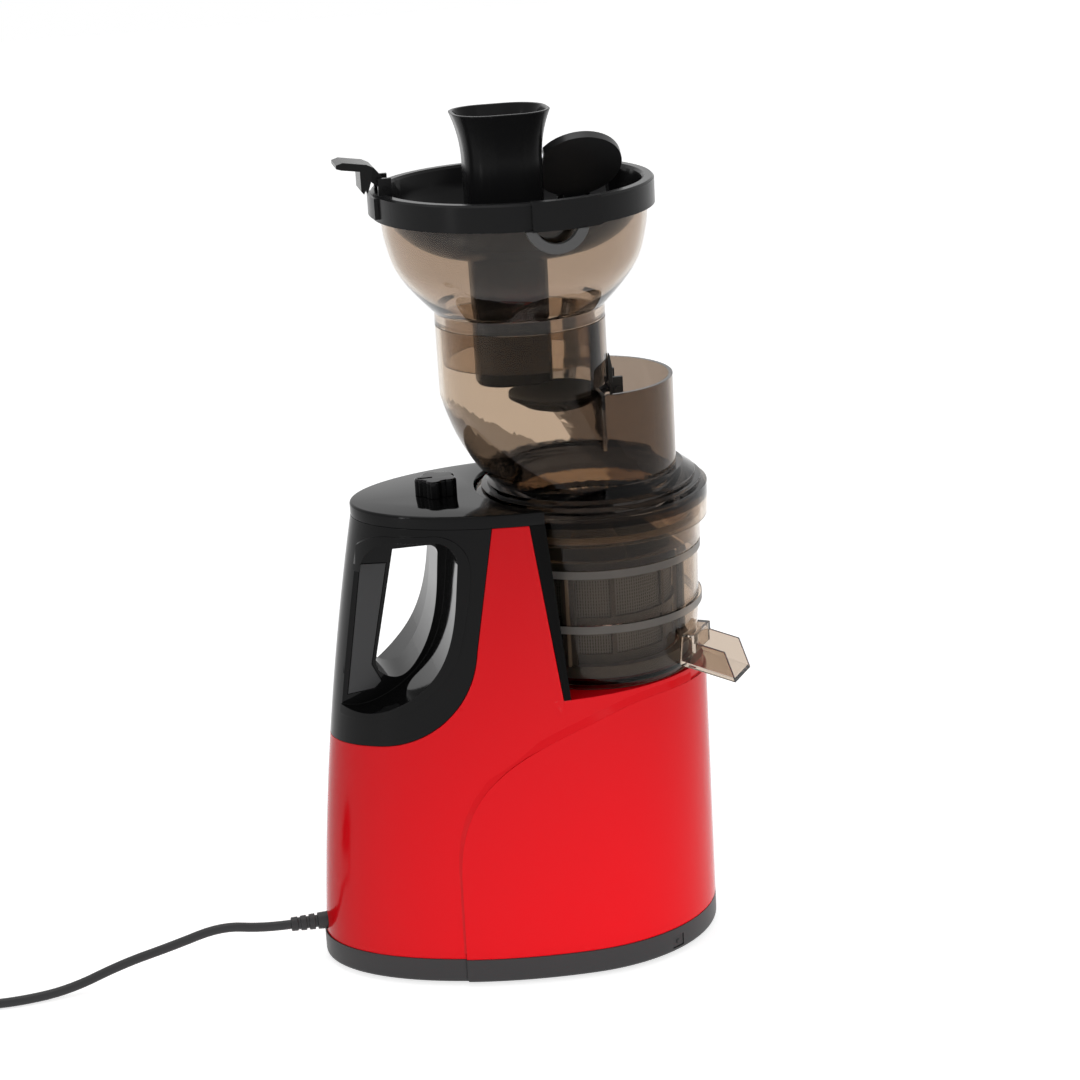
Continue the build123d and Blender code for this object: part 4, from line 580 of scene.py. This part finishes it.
# Table and backdrop: one pale matt sheet that shows as white.
# It keeps the shadow of what stands on it.
TABLE_REACH = 6.0
table_corners = [(x * TABLE_REACH, y * TABLE_REACH, 0) for x, y in ((-1, -1), (1, -1), (1, 1), (-1, 1))]
floor_mesh = bpy.data.meshes.new("table_top")
floor_mesh.from_pydata(table_corners, [], [(0, 1, 2, 3)])
table_top = bpy.data.objects.new("table_top", floor_mesh)
scene.collection.objects.link(table_top)
pale = plastic("pale", (0.86, 0.86, 0.86, 1), 0.6)
floor_mesh.materials.append(pale)

# World: white to the camera, in reflections and through clear walls.
# As a light that falls on things it is at a plain level.
PLAIN_LEVEL = 0.4
WHITE = 1.0
TABLE_GLOW = 0.66
world = bpy.data.worlds.new("studio")
scene.world = world
world.use_nodes = True
world.node_tree.nodes["Background"].inputs["Color"].default_value = (1, 1, 1, 1)


def seen_share(tree, unseen, seen):
    """A value that is one level for light that falls on things and another for what is looked at."""
    path = tree.nodes.new("ShaderNodeLightPath")
    either = tree.nodes.new("ShaderNodeMath")
    either.operation = "MAXIMUM"
    tree.links.new(path.outputs["Is Camera Ray"], either.inputs[0])
    tree.links.new(path.outputs["Is Glossy Ray"], either.inputs[1])
    any_ray = tree.nodes.new("ShaderNodeMath")
    any_ray.operation = "MAXIMUM"
    tree.links.new(either.outputs[0], any_ray.inputs[0])
    tree.links.new(path.outputs["Is Transmission Ray"], any_ray.inputs[1])
    level = tree.nodes.new("ShaderNodeMath")
    level.operation = "MULTIPLY_ADD"
    tree.links.new(any_ray.outputs[0], level.inputs[0])
    level.inputs[1].default_value = seen - unseen
    level.inputs[2].default_value = unseen
    return level.outputs[0]


world.node_tree.links.new(seen_share(world.node_tree, PLAIN_LEVEL, WHITE),
                          world.node_tree.nodes["Background"].inputs["Strength"])
pale_shader = pale.node_tree.nodes["Principled BSDF"]
pale_shader.inputs["Emission Color"].default_value = (1, 1, 1, 1)
pale.node_tree.links.new(seen_share(pale.node_tree, 0.0, TABLE_GLOW), pale_shader.inputs["Emission Strength"])

# Lamps: four soft boxes. A low one lifts the housing's foot, one stands at the side, a narrow one behind
# draws the edges of the black mouldings, and a broad one hangs above.
MIDDLE = (0, 0, 0.25)


def softbox(name, place, aim, width, height, power):
    """A soft rectangular lamp that looks at a point."""
    lamp = bpy.data.lights.new(name, "AREA")
    lamp.shape = "RECTANGLE"
    lamp.size = width
    lamp.size_y = height
    lamp.energy = power
    holder = bpy.data.objects.new(name, lamp)
    scene.collection.objects.link(holder)
    holder.location = place
    holder.rotation_mode = "QUATERNION"
    holder.rotation_quaternion = (Vector(aim) - Vector(place)).to_track_quat("-Z", "Y")
    holder.visible_transmission = False
    return holder


low_front = softbox("key_lamp", (-1.3, -0.45, 0.14), (-0.05, -0.03, -0.02), 0.7, 0.2, 0.8)
low_front.data.spread = math.radians(36)
low_front.visible_glossy = False
softbox("side_lamp", (-1.5, -0.5, 0.9), MIDDLE, 0.3, 1.2, 0.75)
softbox("fill_lamp", (-0.9, 1.6, 0.8), MIDDLE, 0.14, 1.3, 4)
softbox("top_lamp", (0.3, 0.2, 1.9), MIDDLE, 1.2, 1.2, 6)

# Camera: a long lens on the machine's left side, a little to the rear and above.
# It is tilted and shifted a little, to hold the machine in its place in the picture.
CAMERA_HEADING = math.radians(-101.0)
CAMERA_RISE = math.radians(16.99)
CAMERA_ROLL = math.radians(-2.97)
CAMERA_DISTANCE = 1.611
CAMERA_LENS = 85.89
CAMERA_SHIFT = (-0.0348, -0.0141)
AIM = Vector((0.0, -0.0401, 0.270))
right = Vector((math.cos(CAMERA_HEADING), math.sin(CAMERA_HEADING), 0))
back = Vector((math.sin(CAMERA_HEADING) * math.cos(CAMERA_RISE),
               -math.cos(CAMERA_HEADING) * math.cos(CAMERA_RISE), math.sin(CAMERA_RISE)))
up = back.cross(right)
camera_data = bpy.data.cameras.new("camera")
camera_data.sensor_width = 36
camera_data.lens = CAMERA_LENS
camera_data.shift_x, camera_data.shift_y = CAMERA_SHIFT
camera = bpy.data.objects.new("camera", camera_data)
scene.collection.objects.link(camera)
across = right * math.cos(CAMERA_ROLL) + up * math.sin(CAMERA_ROLL)
upward = up * math.cos(CAMERA_ROLL) - right * math.sin(CAMERA_ROLL)
camera.matrix_world = Matrix.Translation(AIM + back * CAMERA_DISTANCE) @ Matrix(
    (across, upward, back)).transposed().to_4x4()
scene.camera = camera
